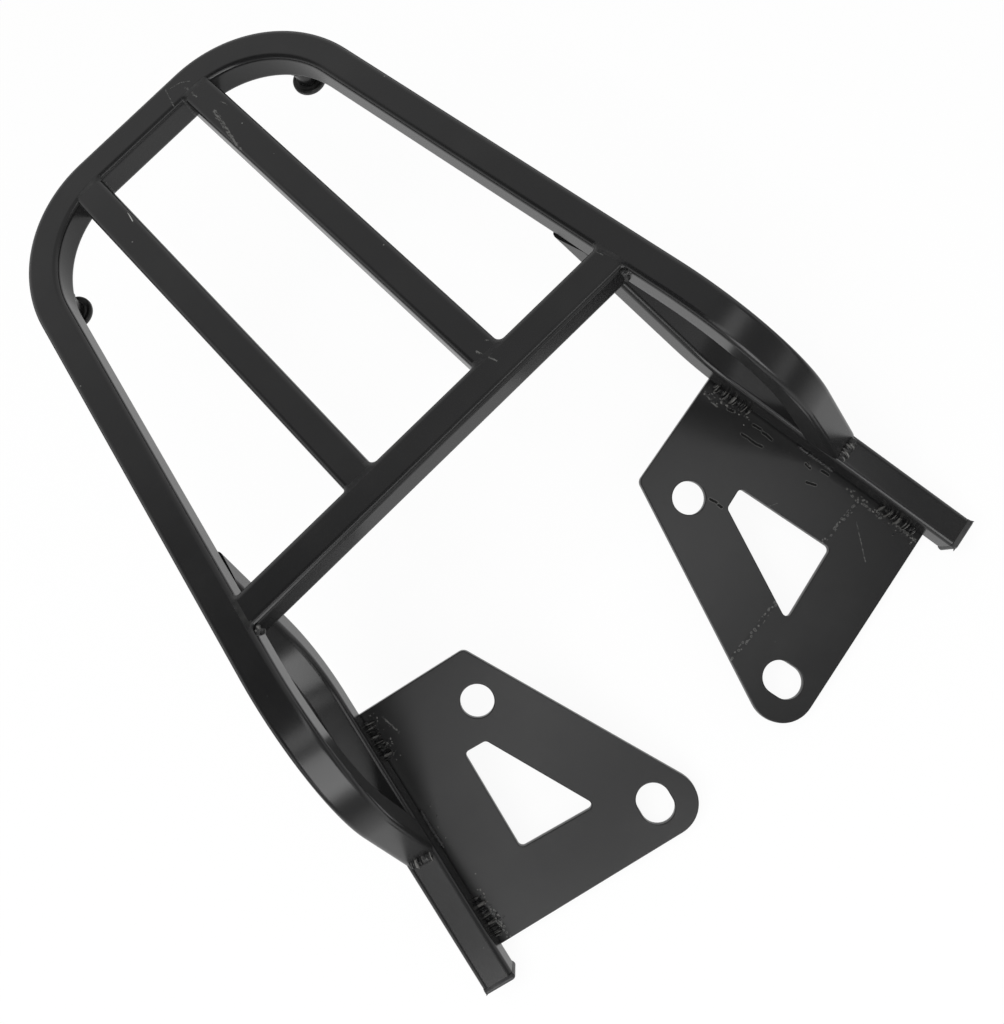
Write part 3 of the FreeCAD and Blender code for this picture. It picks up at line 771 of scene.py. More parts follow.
class WeldWork(Work):
    """Every weld, grouped as the solids are.

    The beads are radii in millimetres. A stitch is its radius, lumps, worn paint and painted highlight on its
    ridges, and count of drops.
    """

    tube_bead = 2.2
    landing_bead = 3.0
    post_bead = 1.6
    nose_bead = 0.95
    front_bead = 1.7
    end_stitch = (2.6, 0.55, 1.0, 40)
    middle_stitch = (1.2, 0.2, 0.0, 8)
    stitch_crest = 0.04
    stitch_length = 22.0
    stitch_inset = 4.0
    plate_front = 40.0
    plate_rear = 90.4
    close_leg = 1.1
    open_leg = 3.0

    def filled(self, point: np.ndarray, first: np.ndarray, second: np.ndarray, leg: float, seed: int) -> Skin:
        """The filling of one inside corner."""
        sizes = self.rack.sizes
        place = np.array([point[0], point[1], 0.0])
        return corner_skin(Corner(place, first, second, leg, seed), sizes.tube_corner,
                           sizes.tube - sizes.tube_corner)

    def ground_joint(self, face_point: np.ndarray, into: np.ndarray, line_point: np.ndarray,
                     line: np.ndarray) -> Skin:
        """Weld metal ground flush where one tube ends on the rounded edge of another.

        It is the ending tube's outline, cut off level below its top, carried from just inside its
        end to where the other tube's flat top begins.

        Args:
            face_point, into: a point of the other tube's face and the way into that tube.
            line_point, line: the ending tube's centre line, towards the other tube.

        Returns:
            The skin.
        """
        sizes = self.rack.sizes
        outline = rounded_square(sizes.tube - 0.02, sizes.tube_corner)
        outline[:, 1] = np.maximum(outline[:, 1], sizes.half - 5.0)
        edge = sizes.tube_corner
        path = bent_path([line_point, line_point + line * 4.0], [], np.cross(line, UP) * -1, UP)
        return swept_tube(path, outline, Cut(face_point - into * 0.4, into),
                          Cut(face_point + into * edge, into))

    def crossbar_skins(self) -> list[Skin]:
        """The joints between the crossbar and the hoop."""
        rack, skins = self.rack, []
        half = rack.sizes.half
        for side in Side:
            line = rack.sides[side]
            centre = meet(UP * -half, rack.cross_line, line.inner - UP * half, line.forward)
            toward = rack.cross_line * side.value
            skins.append(self.ground_joint(line.inner, line.outward, centre - toward * 2.0, toward))
            for way in (1, -1):
                start = rack.cross_outward * (way * half)
                corner = meet(start, rack.cross_line, line.inner, line.forward)
                seed = 11 + side.value + 3 * way
                leg = self.close_leg + 0.5 * (way > 0)
                skins.append(self.filled(corner, line.forward * -way, -toward, leg, seed))
            nose = corner - UP * 1.9  # a small flake across the front corner, just under the top
            skins.append(bead_skin(Seam(
                nose - toward * 2.4 - rack.cross_outward * 0.2,
                nose + line.forward * 4.2 + line.outward * 0.7,
                UP - rack.cross_outward, self.nose_bead, ripple=5.0, lumps=0.2, bare_and_highlit=0.7, seed=5 + side.value,
                crest=0.1)))
            skins.append(bead_skin(Seam(
                corner - UP * 2.5, corner - UP * 12.0, line.forward - toward, self.front_bead, ripple=3.4,
                lumps=0.2, bare_and_highlit=0.0, seed=8 + side.value)))
        return skins

    def bar_skins(self) -> list[Skin]:
        """The joints between the long bars and what they end on."""
        rack, skins = self.rack, []
        half = rack.sizes.half
        for side in Side:
            front, rear = rack.bar_line(side)
            run = unit(rear - front)
            across = np.cross(run, UP)
            middle = meet(front, run, rack.cross_outward * half, rack.cross_line)
            skins.append(self.ground_joint(rack.cross_outward * half, -rack.cross_outward,
                                           middle + run * 2.0, -run))
            middle = meet(rear, run, rack.rear_inner, rack.rear_line)
            skins.append(self.ground_joint(rack.rear_inner, rack.rear_outward, middle - run * 2.0, run))
            for flank in (1, -1):
                edge = front + across * (flank * half)
                at_front = meet(edge, run, rack.cross_outward * half, rack.cross_line)
                at_rear = meet(edge, run, rack.rear_inner, rack.rear_line)
                seed = 31 + 5 * side.value + 2 * flank
                leg = self.open_leg if flank > 0 else self.close_leg
                skins.append(self.filled(at_front, run, rack.cross_line * flank, leg, seed))
                skins.append(self.filled(at_rear, -run, rack.rear_line * flank, self.close_leg, seed + 1))
        return skins

    def landing_skins(self) -> list[Skin]:
        """Across the rails, before and behind each end of the hoop."""
        skins = []
        sizes = self.rack.sizes
        for side in Side:
            rail, line = self.rack.rails[side], self.rack.sides[side]
            depth = sizes.half / abs(float(line.drop @ rail.up))
            for way in (-1, 1):
                along = sizes.rail_landing + way * depth
                first = rail.at(along, sizes.tube_corner * 0.6, -0.5)
                last = rail.at(along, sizes.tube - sizes.tube_corner * 0.6, -0.5)
                face = rail.up + rail.along * way
                skins.append(bead_skin(Seam(first, last, face, self.landing_bead, 2.6, 0.2, 1.0,
                                            51 + side.value + 3 * way)))
        return skins

    def root_skins(self) -> list[Skin]:
        """Across the rails, before and behind, where they meet the underside of the hoop."""
        skins = []
        sizes = self.rack.sizes
        half_width = sizes.half - sizes.tube_corner
        for side in Side:
            rail = self.rack.rails[side]
            level = unit(np.array([rail.climb[0], rail.climb[1], 0.0]))
            for way in (-1, 1):
                middle = rail.root() + level * (way * sizes.half / rail.climb[2])
                reach = rail.outward * half_width
                skins.append(bead_skin(Seam(middle - reach, middle + reach, level * way - UP, self.tube_bead,
                                            2.2, 0.3, 0.35, 71 + side.value + 3 * way)))
        return skins

    def plate_skins(self) -> list[Skin]:
        """Three rough stitches on each plate beside the rail, and the drops thrown round them."""
        skins = []
        tube = self.rack.sizes.tube
        first = self.stitch_inset - self.plate_front
        last = self.plate_rear - self.stitch_inset - self.stitch_length
        for side in Side:
            rail = self.rack.rails[side]
            for index, along in enumerate((first, (first + last) / 2, last)):
                seed = 91 + 7 * side.value + index
                start = rail.at(along, tube, -tube)
                end = rail.at(along + self.stitch_length, tube, -tube)
                size, lumps, bare_and_highlit, count = self.middle_stitch if index == 1 else self.end_stitch
                skins.append(bead_skin(Seam(start, end, rail.up - rail.outward, size, 2.4, lumps, bare_and_highlit, seed,
                                            self.stitch_crest)))
                draw = np.random.default_rng(seed)
                spots = np.stack([draw.uniform(-2, self.stitch_length + 2, count),
                                  2.6 + np.abs(draw.normal(0, 2.2, count))], 1)
                centres = start + spots[:, :1] * rail.along - spots[:, 1:] * rail.outward
                skins += spatter_skins(centres, draw.uniform(0.16, 0.6, count), rail.up, seed)
        return skins

    def post_skins(self) -> list[Skin]:
        """A ring round the top of each post, uneven and rippled.

        At an angle a round the post and b round the bead, the bead's radius is the bead's size
        times 1 plus a ripple in a and the rough height.
        """
        skins = []
        columns, rows = 20, 120
        for side in Side:
            draw = np.random.default_rng(140 + side.value)
            turn = around(rows)[:, None]
            angle = around(columns)[None]
            crest = np.abs(np.sin(8 * turn + 0.4 * np.cos(angle)))
            rough = 0.1 * np.sin(3 * turn + draw.uniform(0, 6)) + 0.08 * np.sin(7 * turn + 2 * angle)
            radius = self.post_bead * (0.9 + 0.15 * crest + rough)
            reach = self.rack.sizes.post_radius + radius * np.cos(angle)
            spokes = np.concatenate([np.cos(turn), np.sin(turn), np.zeros_like(turn)], 1)
            grid = (self.rack.post_centre(side) + reach[..., None] * spokes[:, None]
                    + (radius * np.sin(angle))[..., None] * UP)
            # the crests carry worn paint and a painted highlight
            skins.append(Skin(grid.reshape(-1, 3), grid_faces(rows, columns, True), [],
                              (0.3 * crest ** 6).ravel()).facing_out())
        return skins

    def build(self) -> list[bpy.types.Object]:
        """Every group of welds."""
        groups = {"crossbar_welds": self.crossbar_skins(), "bar_welds": self.bar_skins(),
                  "hoop_end_welds": self.landing_skins(), "rail_root_welds": self.root_skins(),
                  "plate_welds": self.plate_skins(), "post_welds": self.post_skins()}
        return [make_piece(name + "_beads", skins, [name]) for name, skins in groups.items()]


class PostWork(Work):
    """The posts under the rear corners and the rubber feet on them."""

    def posts(self) -> list[bpy.types.Object]:
        """Two round posts, the lower edge of each broken by a small chamfer."""
        sizes = self.rack.sizes
        radius, length = sizes.post_radius, sizes.post_length
        profile = np.array([[0.4, 0.3], [radius, 0.3], [radius, -1.0], [radius, -length + 0.7],
                            [radius - 0.15, -length + 0.3], [radius - 0.6, -length], [0.4, -length]])
        return [make_piece(side.word + "_post_skin", [turned_skin(profile, self.rack.post_centre(side))],
                           [side.word + "_post"]) for side in Side]

    def feet(self) -> list[bpy.types.Object]:
        """Two rubber discs with a raised rim and a groove inside it."""
        sizes = self.rack.sizes
        radius, thick = sizes.foot_radius, sizes.foot_thickness
        rim = [[0.4, -0.02], [5.2, -0.02], [5.9, -0.55], [6.4, -0.72], [6.9, -0.55], [7.3, -0.12], [7.7, 0.0],
               [8.1, -0.1], [radius - 0.12, -0.5], [radius, -1.0], [radius, -2.0], [radius - 0.2, -2.5],
               [radius - 0.6, -2.85], [radius - 1.0, -thick], [0.4, -thick]]
        return [make_piece(side.word + "_foot_skin",
                           [turned_skin(np.array(rim), self.rack.post_centre(side) - UP * sizes.post_length)],
                           [side.word + "_foot"]) for side in Side]


class CapWork(Work):
    """The plastic caps in the front ends of the rails."""

    spike_rows = 6
    spike_columns = 10
    outline_corner = 1.3

    def spike(self, rail: Rail, root: tuple[float, float, float], tip: tuple[float, float, float],
              radius: float) -> Skin:
        """A thin point of moulding flash: rings that shrink from the root to the tip."""
        first, last = rail.at(*root), rail.at(*tip)
        run = unit(last - first)
        across = unit(np.cross(run, rail.along + 0.3 * rail.up))
        beside = np.cross(run, across)
        angle = around(self.spike_columns)[None]
        share = np.linspace(0, 1, self.spike_rows)[:, None]
        wide = radius * (1 - share) ** 0.7 + 0.05
        grid = ((first + (last - first) * share)[:, None] + (wide * np.cos(angle))[..., None] * across
                + (0.5 * wide * np.sin(angle))[..., None] * beside)
        return closed_grid(grid)

    def flange(self, rail: Rail, seed: int) -> Skin:
        """The cap's plate: the tube's outline, a little larger at the middle, its edge uneven.

        Ring k is the outline times its own scale, moved in and up by what it grows, and drawn in
        by a slow wave round it.
        """
        sizes = rail.sizes
        draw = np.random.default_rng(seed)
        outline = rounded_square(sizes.tube, self.outline_corner, steps=7)
        depths = np.array([0.0, 0.25, 0.9, 1.9, 2.6, sizes.cap_flange])
        growth = np.array([-0.9, -0.15, 0.25, 0.3, 0.15, 0.05])
        turn = np.arctan2(outline[:, 1], outline[:, 0])
        wave = 0.08 * np.sin(3 * turn + draw.uniform(0, 6))
        wave = wave + 0.06 * np.sin(7 * turn + draw.uniform(0, 6)) - 0.1
        scale = 1 + (growth[:, None] + wave[None] * (growth[:, None] > 0)) / sizes.half
        shift = np.maximum(growth, 0)
        front = -sizes.rail_front - sizes.cap_flange
        centre = np.stack([rail.at(front + depth, sizes.half + grown, grown - sizes.half)
                           for depth, grown in zip(depths, shift)])
        across = rail.outward * rail.side.value
        grid = (centre[:, None] + (outline[None, :, :1] * scale[..., None]) * across
                + (outline[None, :, 1:] * scale[..., None]) * rail.up)
        return closed_grid(grid)

    def build(self) -> list[bpy.types.Object]:
        """Both caps, each with the flash that the photograph shows at two corners."""
        tube = self.rack.sizes.tube
        spikes = {Side.RIGHT: [((-51.0, 0.9, -0.6), (-51.6, 0.5, 1.9), 0.8),
                               ((-51.4, tube - 1.0, -1.0), (-52.2, tube + 1.3, -1.6), 0.9)],
                  Side.LEFT: [((-50.6, tube - 0.8, -0.8), (-50.2, tube + 0.6, 0.9), 0.8),
                              ((-51.6, 1.2, -1.0), (-52.3, 0.3, 0.6), 0.8)]}
        pieces = []
        for side, points in spikes.items():
            rail = self.rack.rails[side]
            skins = [self.flange(rail, 160 + side.value)] + [self.spike(rail, *point) for point in points]
            pieces.append(make_piece(side.word + "_end_cap_skin", skins, [side.word + "_end_cap"]))
        return pieces


class PlateWork(Work):
    """The two mounting plates, cut from sheet, with their edges broken."""

    bevel = 0.45
    merge_distance = 1e-6
    same_face_angle = 0.5
    sharp_edge_angle = 50.0
    shading_angle = 20.0
    level_cosine = 0.9999

    def __init__(self, rack: Rack, nodes: dict[str, bpy.types.Object]) -> None:
        """Keeps the rack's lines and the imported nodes."""
        super().__init__(rack)
        self.nodes = nodes

    def plate(self, side: Side) -> bpy.types.Object:
        """One plate: a merged copy of its solid's mesh, with each sharp edge rounded."""
        node = side.word + "_plate"
        mesh = self.nodes[node].data.copy()
        mesh.name = node + "_skin"
        work = bmesh.new()
        work.from_mesh(mesh)
        bmesh.ops.remove_doubles(work, verts=work.verts, dist=self.merge_distance)
        bmesh.ops.dissolve_limit(work, angle_limit=math.radians(self.same_face_angle), verts=work.verts,
                                 edges=work.edges)
        sharp_from = math.radians(self.sharp_edge_angle)
        sharp = [edge for edge in work.edges if edge.calc_face_angle(0.0) > sharp_from]
        bmesh.ops.bevel(work, geom=sharp, offset=self.bevel * MM, offset_type="OFFSET", segments=3,
                        profile=0.5, affect="EDGES", clamp_overlap=False)
        bmesh.ops.recalc_face_normals(work, faces=work.faces)
        work.to_mesh(mesh)
        work.free()
        mesh.shade_smooth()
        mesh.set_sharp_from_angle(angle=math.radians(self.shading_angle))
        facing = np.empty(len(mesh.polygons) * 3)
        mesh.polygons.foreach_get("normal", facing)
        flat_faces = np.abs(facing.reshape(-1, 3) @ self.rack.rails[side].up) > self.level_cosine
        mesh.polygons.foreach_set("use_smooth", ~flat_faces)
        return add_to_rack(bpy.data.objects.new(node + "_skin", mesh), [node])

    def build(self) -> list[bpy.types.Object]:
        """Both plates."""
        return [self.plate(side) for side in Side]


class Value:
    """A socket or a number in a shader, with the usual operators."""

    def __init__(self, shader: "Shader", socket: bpy.types.NodeSocket | float) -> None:
        """Wraps a socket of a shader."""
        self.shader = shader
        self.socket = socket

    def maths(self, operation: str, *others: "Value | float") -> "Value":
        """One Math node on this value and others."""
        sockets = {index: other for index, other in enumerate((self, *others))}
        return self.shader.node("ShaderNodeMath", {"operation": operation}, sockets)

    def __add__(self, other: "Value | float") -> "Value":
        """The sum."""
        return self.maths("ADD", other)

    def __sub__(self, other: "Value | float") -> "Value":
        """The difference."""
        return self.maths("SUBTRACT", other)

    def __mul__(self, other: "Value | float") -> "Value":
        """The product."""
        return self.maths("MULTIPLY", other)

    def __rsub__(self, other: float) -> "Value":
        """A number less this value."""
        return Value(self.shader, other).maths("SUBTRACT", self)

    __radd__ = __add__
    __rmul__ = __mul__

    def step(self, low: float, high: float, first: float = 0.0, last: float = 1.0) -> "Value":
        """A smooth step from a first level at low to a last level at high."""
        inputs = {"Value": self, "From Min": low, "From Max": high, "To Min": first, "To Max": last}
        return self.shader.node("ShaderNodeMapRange", {"interpolation_type": "SMOOTHSTEP"}, inputs)

    def most(self, other: "Value") -> "Value":
        """The greater of two values."""
        return self.maths("MAXIMUM", other)


@dataclass(frozen=True)
class Mark:
    """A worn or spattered place: a line between two points and how far it spreads, in millimetres."""

    first: np.ndarray
    last: np.ndarray
    width: float


class Shader:
    """The nodes of a material or of the world, made one at a time."""

    def __init__(self, owner: bpy.types.Material | bpy.types.World,
                 output: str = "ShaderNodeOutputMaterial") -> None:
        """Empties the owner's nodes.

        Args:
            owner: a new material or world.
            output: the type of its output node.
        """
        owner.use_nodes = True
        self.owner = owner
        self.tree = owner.node_tree
        self.tree.nodes.clear()
        self.output = self.tree.nodes.new(output)

    @classmethod
    def named(cls, name: str) -> "Shader":
        """The shader of a new material."""
        return cls(bpy.data.materials.new(name))

    def surface(self, shade: Value) -> None:
        """Links the last shader to the output."""
        self.tree.links.new(shade.socket, self.output.inputs["Surface"])

    def node(self, kind: str, settings: dict[str, object], inputs: dict[int | str, object],
             output: int | str = 0) -> Value:
        """One node of any kind.

        Args:
            kind: the node's type.
            settings: attributes that are set before the sockets.
            inputs: the values or links of its sockets.
            output: which output is returned.

        Returns:
            The output, as a value.
        """
        made = self.tree.nodes.new(kind)
        for key, value in settings.items():
            setattr(made, key, value)
        for key, value in inputs.items():
            if isinstance(value, Value):
                value = value.socket
            if isinstance(value, bpy.types.NodeSocket):
                self.tree.links.new(value, made.inputs[key])
            else:
                made.inputs[key].default_value = value
        return Value(self, made.outputs[output])

    def place(self) -> Value:
        """The object coordinates, in metres."""
        return self.node("ShaderNodeTexCoord", {}, {}, "Object")

    def attribute(self, name: str) -> Value:
        """A number that the mesh carries at each point."""
        return self.node("ShaderNodeAttribute", {"attribute_name": name}, {}, "Fac")

    def vector(self, operation: str, first: object, second: object, output: int | str = 0) -> Value:
        """One Vector Math node."""
        return self.node("ShaderNodeVectorMath", {"operation": operation}, {0: first, 1: second}, output)

    def noise(self, place: Value, scale: float, detail: float = 2.0, roughness: float = 0.5) -> Value:
        """Noise between 0 and 1."""
        return self.node("ShaderNodeTexNoise", {}, {"Vector": place, "Scale": scale, "Detail": detail,
                                                    "Roughness": roughness})

    def stretched(self, place: Value, turn: float, scale: tuple[float, float, float]) -> Value:
        """Coordinates turned about the upright axis by degrees, then scaled on each axis."""
        return self.node("ShaderNodeMapping", {"vector_type": "POINT"},
                         {"Vector": place, "Rotation": (0.0, 0.0, math.radians(turn)), "Scale": scale})

    def specks(self, place: Value, scale: float, share: float, size: float) -> Value:
        """Small round specks: cells of which only a share has one, of a size in cell widths."""
        cells = {"Vector": place, "Scale": scale}
        distance = self.node("ShaderNodeTexVoronoi", {}, cells, "Distance")
        colour = self.node("ShaderNodeTexVoronoi", {}, cells, "Color")
        chance = self.node("ShaderNodeSeparateColor", {}, {"Color": colour})
        return (1 - distance.step(size * 0.6, size)) * chance.maths("LESS_THAN", share)

    def near(self, place: Value, mark: Mark) -> Value:
        """How near a point is to a mark: 1 on its line, 0 past its width.

        The foot of the point on the line is the line's vector times the clamped dot product of
        the offset with that vector over its squared length.
        """
        first, span = mark.first * MM, (mark.last - mark.first) * MM
        offset = self.vector("SUBTRACT", place, tuple(first))
        share = self.vector("DOT_PRODUCT", offset, tuple(span / (span @ span)), "Value")
        share = self.node("ShaderNodeClamp", {}, {"Value": share})
        foot = self.node("ShaderNodeVectorMath", {"operation": "SCALE"}, {0: tuple(span), "Scale": share})
        away = self.node("ShaderNodeVectorMath", {"operation": "LENGTH"},
                         {0: self.vector("SUBTRACT", offset, foot)}, "Value")
        return 1 - away.step(0.0, mark.width * MM)

    def all_near(self, place: Value, marks: Sequence[Mark]) -> Value:
        """How near a point is to the nearest of several marks."""
        total = self.near(place, marks[0])
        for mark in marks[1:]:
            total = total.most(self.near(place, mark))
        return total

    def blend(self, share: Value, first: object, second: object) -> Value:
        """A mix of two colours, each a value or three numbers."""
        first, second = (item if isinstance(item, Value) else (*item, 1.0) for item in (first, second))
        return self.node("ShaderNodeMix", {"data_type": "RGBA"}, {0: share, 6: first, 7: second}, 2)

    def bump(self, height: Value, distance: float, strength: float = 1.0,
             under: Value | None = None) -> Value:
        """A normal from a height, over another normal if one is given."""
        inputs = {"Height": height, "Distance": distance, "Strength": strength}
        if under:
            inputs["Normal"] = under
        return self.node("ShaderNodeBump", {}, inputs)

    def finish(self, sockets: dict[str, object]) -> bpy.types.Material:
        """Ends the material in one Principled shader of the paint's and plastic's refraction."""
        self.surface(self.node("ShaderNodeBsdfPrincipled", {}, {**sockets, "IOR": GLASSY}))
        return self.owner


@dataclass(frozen=True)
class BlackPaint:
    """Semi-gloss black paint sprayed on steel, with its worn and spattered places.

    Fields:
        name: the material's name.
        scuffs: places rubbed grey in fine broken streaks.
        scratches: thin lines rubbed through to the metal.
        pits: rows of small burnt pits with a pale rim.
        chips: short dents with painted shade darkening their middle, and a pale rim.
        base, dusty, worn, bright: the paint, the paint under a film of dust, the rubbed paint and
        the unpainted metal of a scratch.
        hollow: the painted shade at the bottom of a chip.
        peel, depth: how high the paint's waves stand and how deep pits go, in metres.
        roughness: how rough the paint is where it is clean.
        clouds, waves, grain, specks: how many of each lie along a metre.
        streaks, cells, breaks, rags: the same for the scuffs, the pits, the gaps between pits and
            the ragged edges of chips.
    """

    name: str
    scuffs: tuple[Mark, ...]
    scratches: tuple[Mark, ...]
    pits: tuple[Mark, ...] = ()
    chips: tuple[Mark, ...] = ()
    base: tuple[float, float, float] = (0.0080, 0.0080, 0.0082)
    dusty: tuple[float, float, float] = (0.0115, 0.0115, 0.0115)
    worn: tuple[float, float, float] = (0.13, 0.13, 0.125)
    bright: tuple[float, float, float] = (0.30, 0.30, 0.29)
    # painted shade at the bottom of a chip
    hollow: tuple[float, float, float] = (0.002, 0.002, 0.002)
    peel: float = 0.00003
    depth: float = 0.0003
    roughness: float = 0.20
    clouds: float = 18.0
    waves: float = 120.0
    grain: float = 1500.0
    specks: float = 210.0
    streaks: float = 1300.0
    cells: float = 640.0
    breaks: float = 420.0
    rags: float = 900.0

    def make(self) -> bpy.types.Material:
        """The material: slow clouds of dust, a slight peel, specks, and the marks over them."""
        shader = Shader.named(self.name)
        place = shader.place()
        clouds = shader.noise(place, self.clouds, 4.0, 0.6)
        fine = shader.noise(place, self.grain, 3.0, 0.65)
        waves = shader.noise(place, self.waves, 2.0)
        specks = shader.specks(place, self.specks, 0.035, 0.10)
        colour = shader.blend(clouds.step(0.4, 0.8), self.base, self.dusty)
        colour = shader.blend(specks * 0.7, colour, self.worn)
        streaks = shader.noise(shader.stretched(place, 35.0, (1.0, 0.35, 1.0)), self.streaks, 4.0, 0.75)
        rub = (shader.all_near(place, self.scuffs) * 0.5 + streaks - 0.92).step(0.0, 0.14)
        colour = shader.blend(rub * 0.7, colour, self.worn)
        scratch = (shader.all_near(place, self.scratches) + fine * 0.5 - 0.62).step(0.0, 0.15)
        colour = shader.blend(scratch, colour, self.bright)
        rub = rub.most(scratch)
        normal = shader.bump(waves + fine * 0.06, self.peel, 0.8)
        if self.pits:
            inputs = {"Vector": place, "Scale": self.cells}
            cells = shader.node("ShaderNodeTexVoronoi", {}, inputs, "Distance")
            broken = shader.noise(place, self.breaks, 2.0)
            where = (shader.all_near(place, self.pits) + broken - 0.92).step(0.0, 0.1)
            rim = cells.step(0.18, 0.3) * (1 - cells.step(0.3, 0.46))
            colour = shader.blend(where * rim * 0.8, colour, self.worn)
            normal = shader.bump((1 - cells.step(0.1, 0.4)) * where, self.depth, -1.0, normal)
            rub = rub.most(where * 0.5)
        if self.chips:
            ragged = shader.noise(place, self.rags, 3.0, 0.7)
            close = shader.all_near(place, self.chips)
            deep = close + (ragged * 1.1 - 0.62) * close.step(0.0, 0.15)
            core = deep.step(0.24, 0.36)
            colour = shader.blend(deep.step(0.06, 0.16) * (1 - core) * 0.8, colour, self.worn)
            # painted shade: the bottom of each chip is darker than the paint
            colour = shader.blend(core, colour, self.hollow)
            normal = shader.bump(deep.step(0.15, 0.5), self.depth * 4 / 3, -1.0, normal)
            rub = rub.most(core * 1.8)
        roughness = self.roughness + clouds * 0.06 + rub * 0.3 + specks * 0.3
        return shader.finish({"Base Color": colour, "Roughness": roughness, "Normal": normal})


@dataclass(frozen=True)
class WeldPaint:
    """The same paint over weld metal, rubbed through on the ridges, which carry a painted highlight too."""

    name: str = "painted_weld"
    base: tuple[float, float, float] = (0.0085, 0.0085, 0.0088)
    dusty: tuple[float, float, float] = (0.018, 0.018, 0.0175)
    # metal: the pale colour on the ridges, for worn paint and a painted highlight
    metal: tuple[float, float, float] = (0.16, 0.157, 0.15)

    def make(self) -> bpy.types.Material:
        """The material: a lumpy skin with dust between the ridges and pale metal on them, partly worn paint
        and partly a painted highlight.
        """
        shader = Shader.named(self.name)
        place = shader.place()
        lumps = shader.noise(place, 700.0, 4.0, 0.65)
        clouds = shader.noise(place, 160.0, 3.0)
        fine = shader.noise(place, 2600.0, 2.0)
        # worn paint and painted highlight: pale where the mesh's attribute, the lumps and the grain are high
        bare_and_highlit = (shader.attribute("bare_and_highlit") * 0.9 + lumps * 0.7 + fine * 0.9 - 0.90).step(0.0, 0.35)
        colour = shader.blend(clouds.step(0.45, 0.8), self.base, self.dusty)
        colour = shader.blend(bare_and_highlit * 0.65, colour, self.metal)
        roughness = 0.22 + clouds * 0.15 + bare_and_highlit * 0.15
        normal = shader.bump(lumps, 0.0003, 0.7)
        return shader.finish({"Base Color": colour, "Roughness": roughness, "Normal": normal})


@dataclass(frozen=True)
class MouldedPlastic:
    """Black moulded plastic or rubber, a little greyer and duller than the paint."""

    name: str
    base: tuple[float, float, float]
    pale: tuple[float, float, float]
    roughness: float

    def make(self) -> bpy.types.Material:
        """The material: a fine grain with slow clouds."""
        shader = Shader.named(self.name)
        place = shader.place()
        grain = shader.noise(place, 1600.0, 2.0)
        clouds = shader.noise(place, 120.0, 3.0)
        colour = shader.blend(clouds.step(0.4, 0.7), self.base, self.pale)
        roughness = self.roughness + clouds * 0.15 - 0.07
        normal = shader.bump(grain + clouds * 2.0, 0.00005, 0.8)
        return shader.finish({"Base Color": colour, "Roughness": roughness, "Normal": normal})


@dataclass(frozen=True)
class Lamp:
    """A soft rectangular lamp that faces the rack.

    Fields:
        name: its name.
        way: its azimuth from the rear towards the right, and its elevation, in degrees.
        distance: how far from the rack it hangs, in metres.
        size: its width and height.
        power: its power in watts.
        mirrored: whether it shows in reflections.
    """

    name: str
    way: tuple[float, float]
    distance: float
    size: tuple[float, float]
    power: float
    mirrored: bool = True

    def hang(self) -> None:
        """Puts the lamp in the scene."""
        azimuth, rise = (math.radians(angle) for angle in self.way)
        level = math.cos(rise)
        back = np.array([math.sin(azimuth) * level, math.cos(azimuth) * level, math.sin(rise)])
        light = bpy.data.lights.new(self.name, "AREA")
        light.shape = "RECTANGLE"
        light.size, light.size_y = self.size
        light.energy = self.power
        holder = bpy.data.objects.new(self.name, light)
        right = unit(np.cross(UP, back))
        above = np.cross(back, right)
        turn = Matrix([[right[i], above[i], back[i]] for i in range(3)]).to_4x4()
        holder.matrix_world = Matrix.Translation(tuple(back * self.distance)) @ turn
        holder.visible_glossy = self.mirrored
        bpy.context.scene.collection.objects.link(holder)


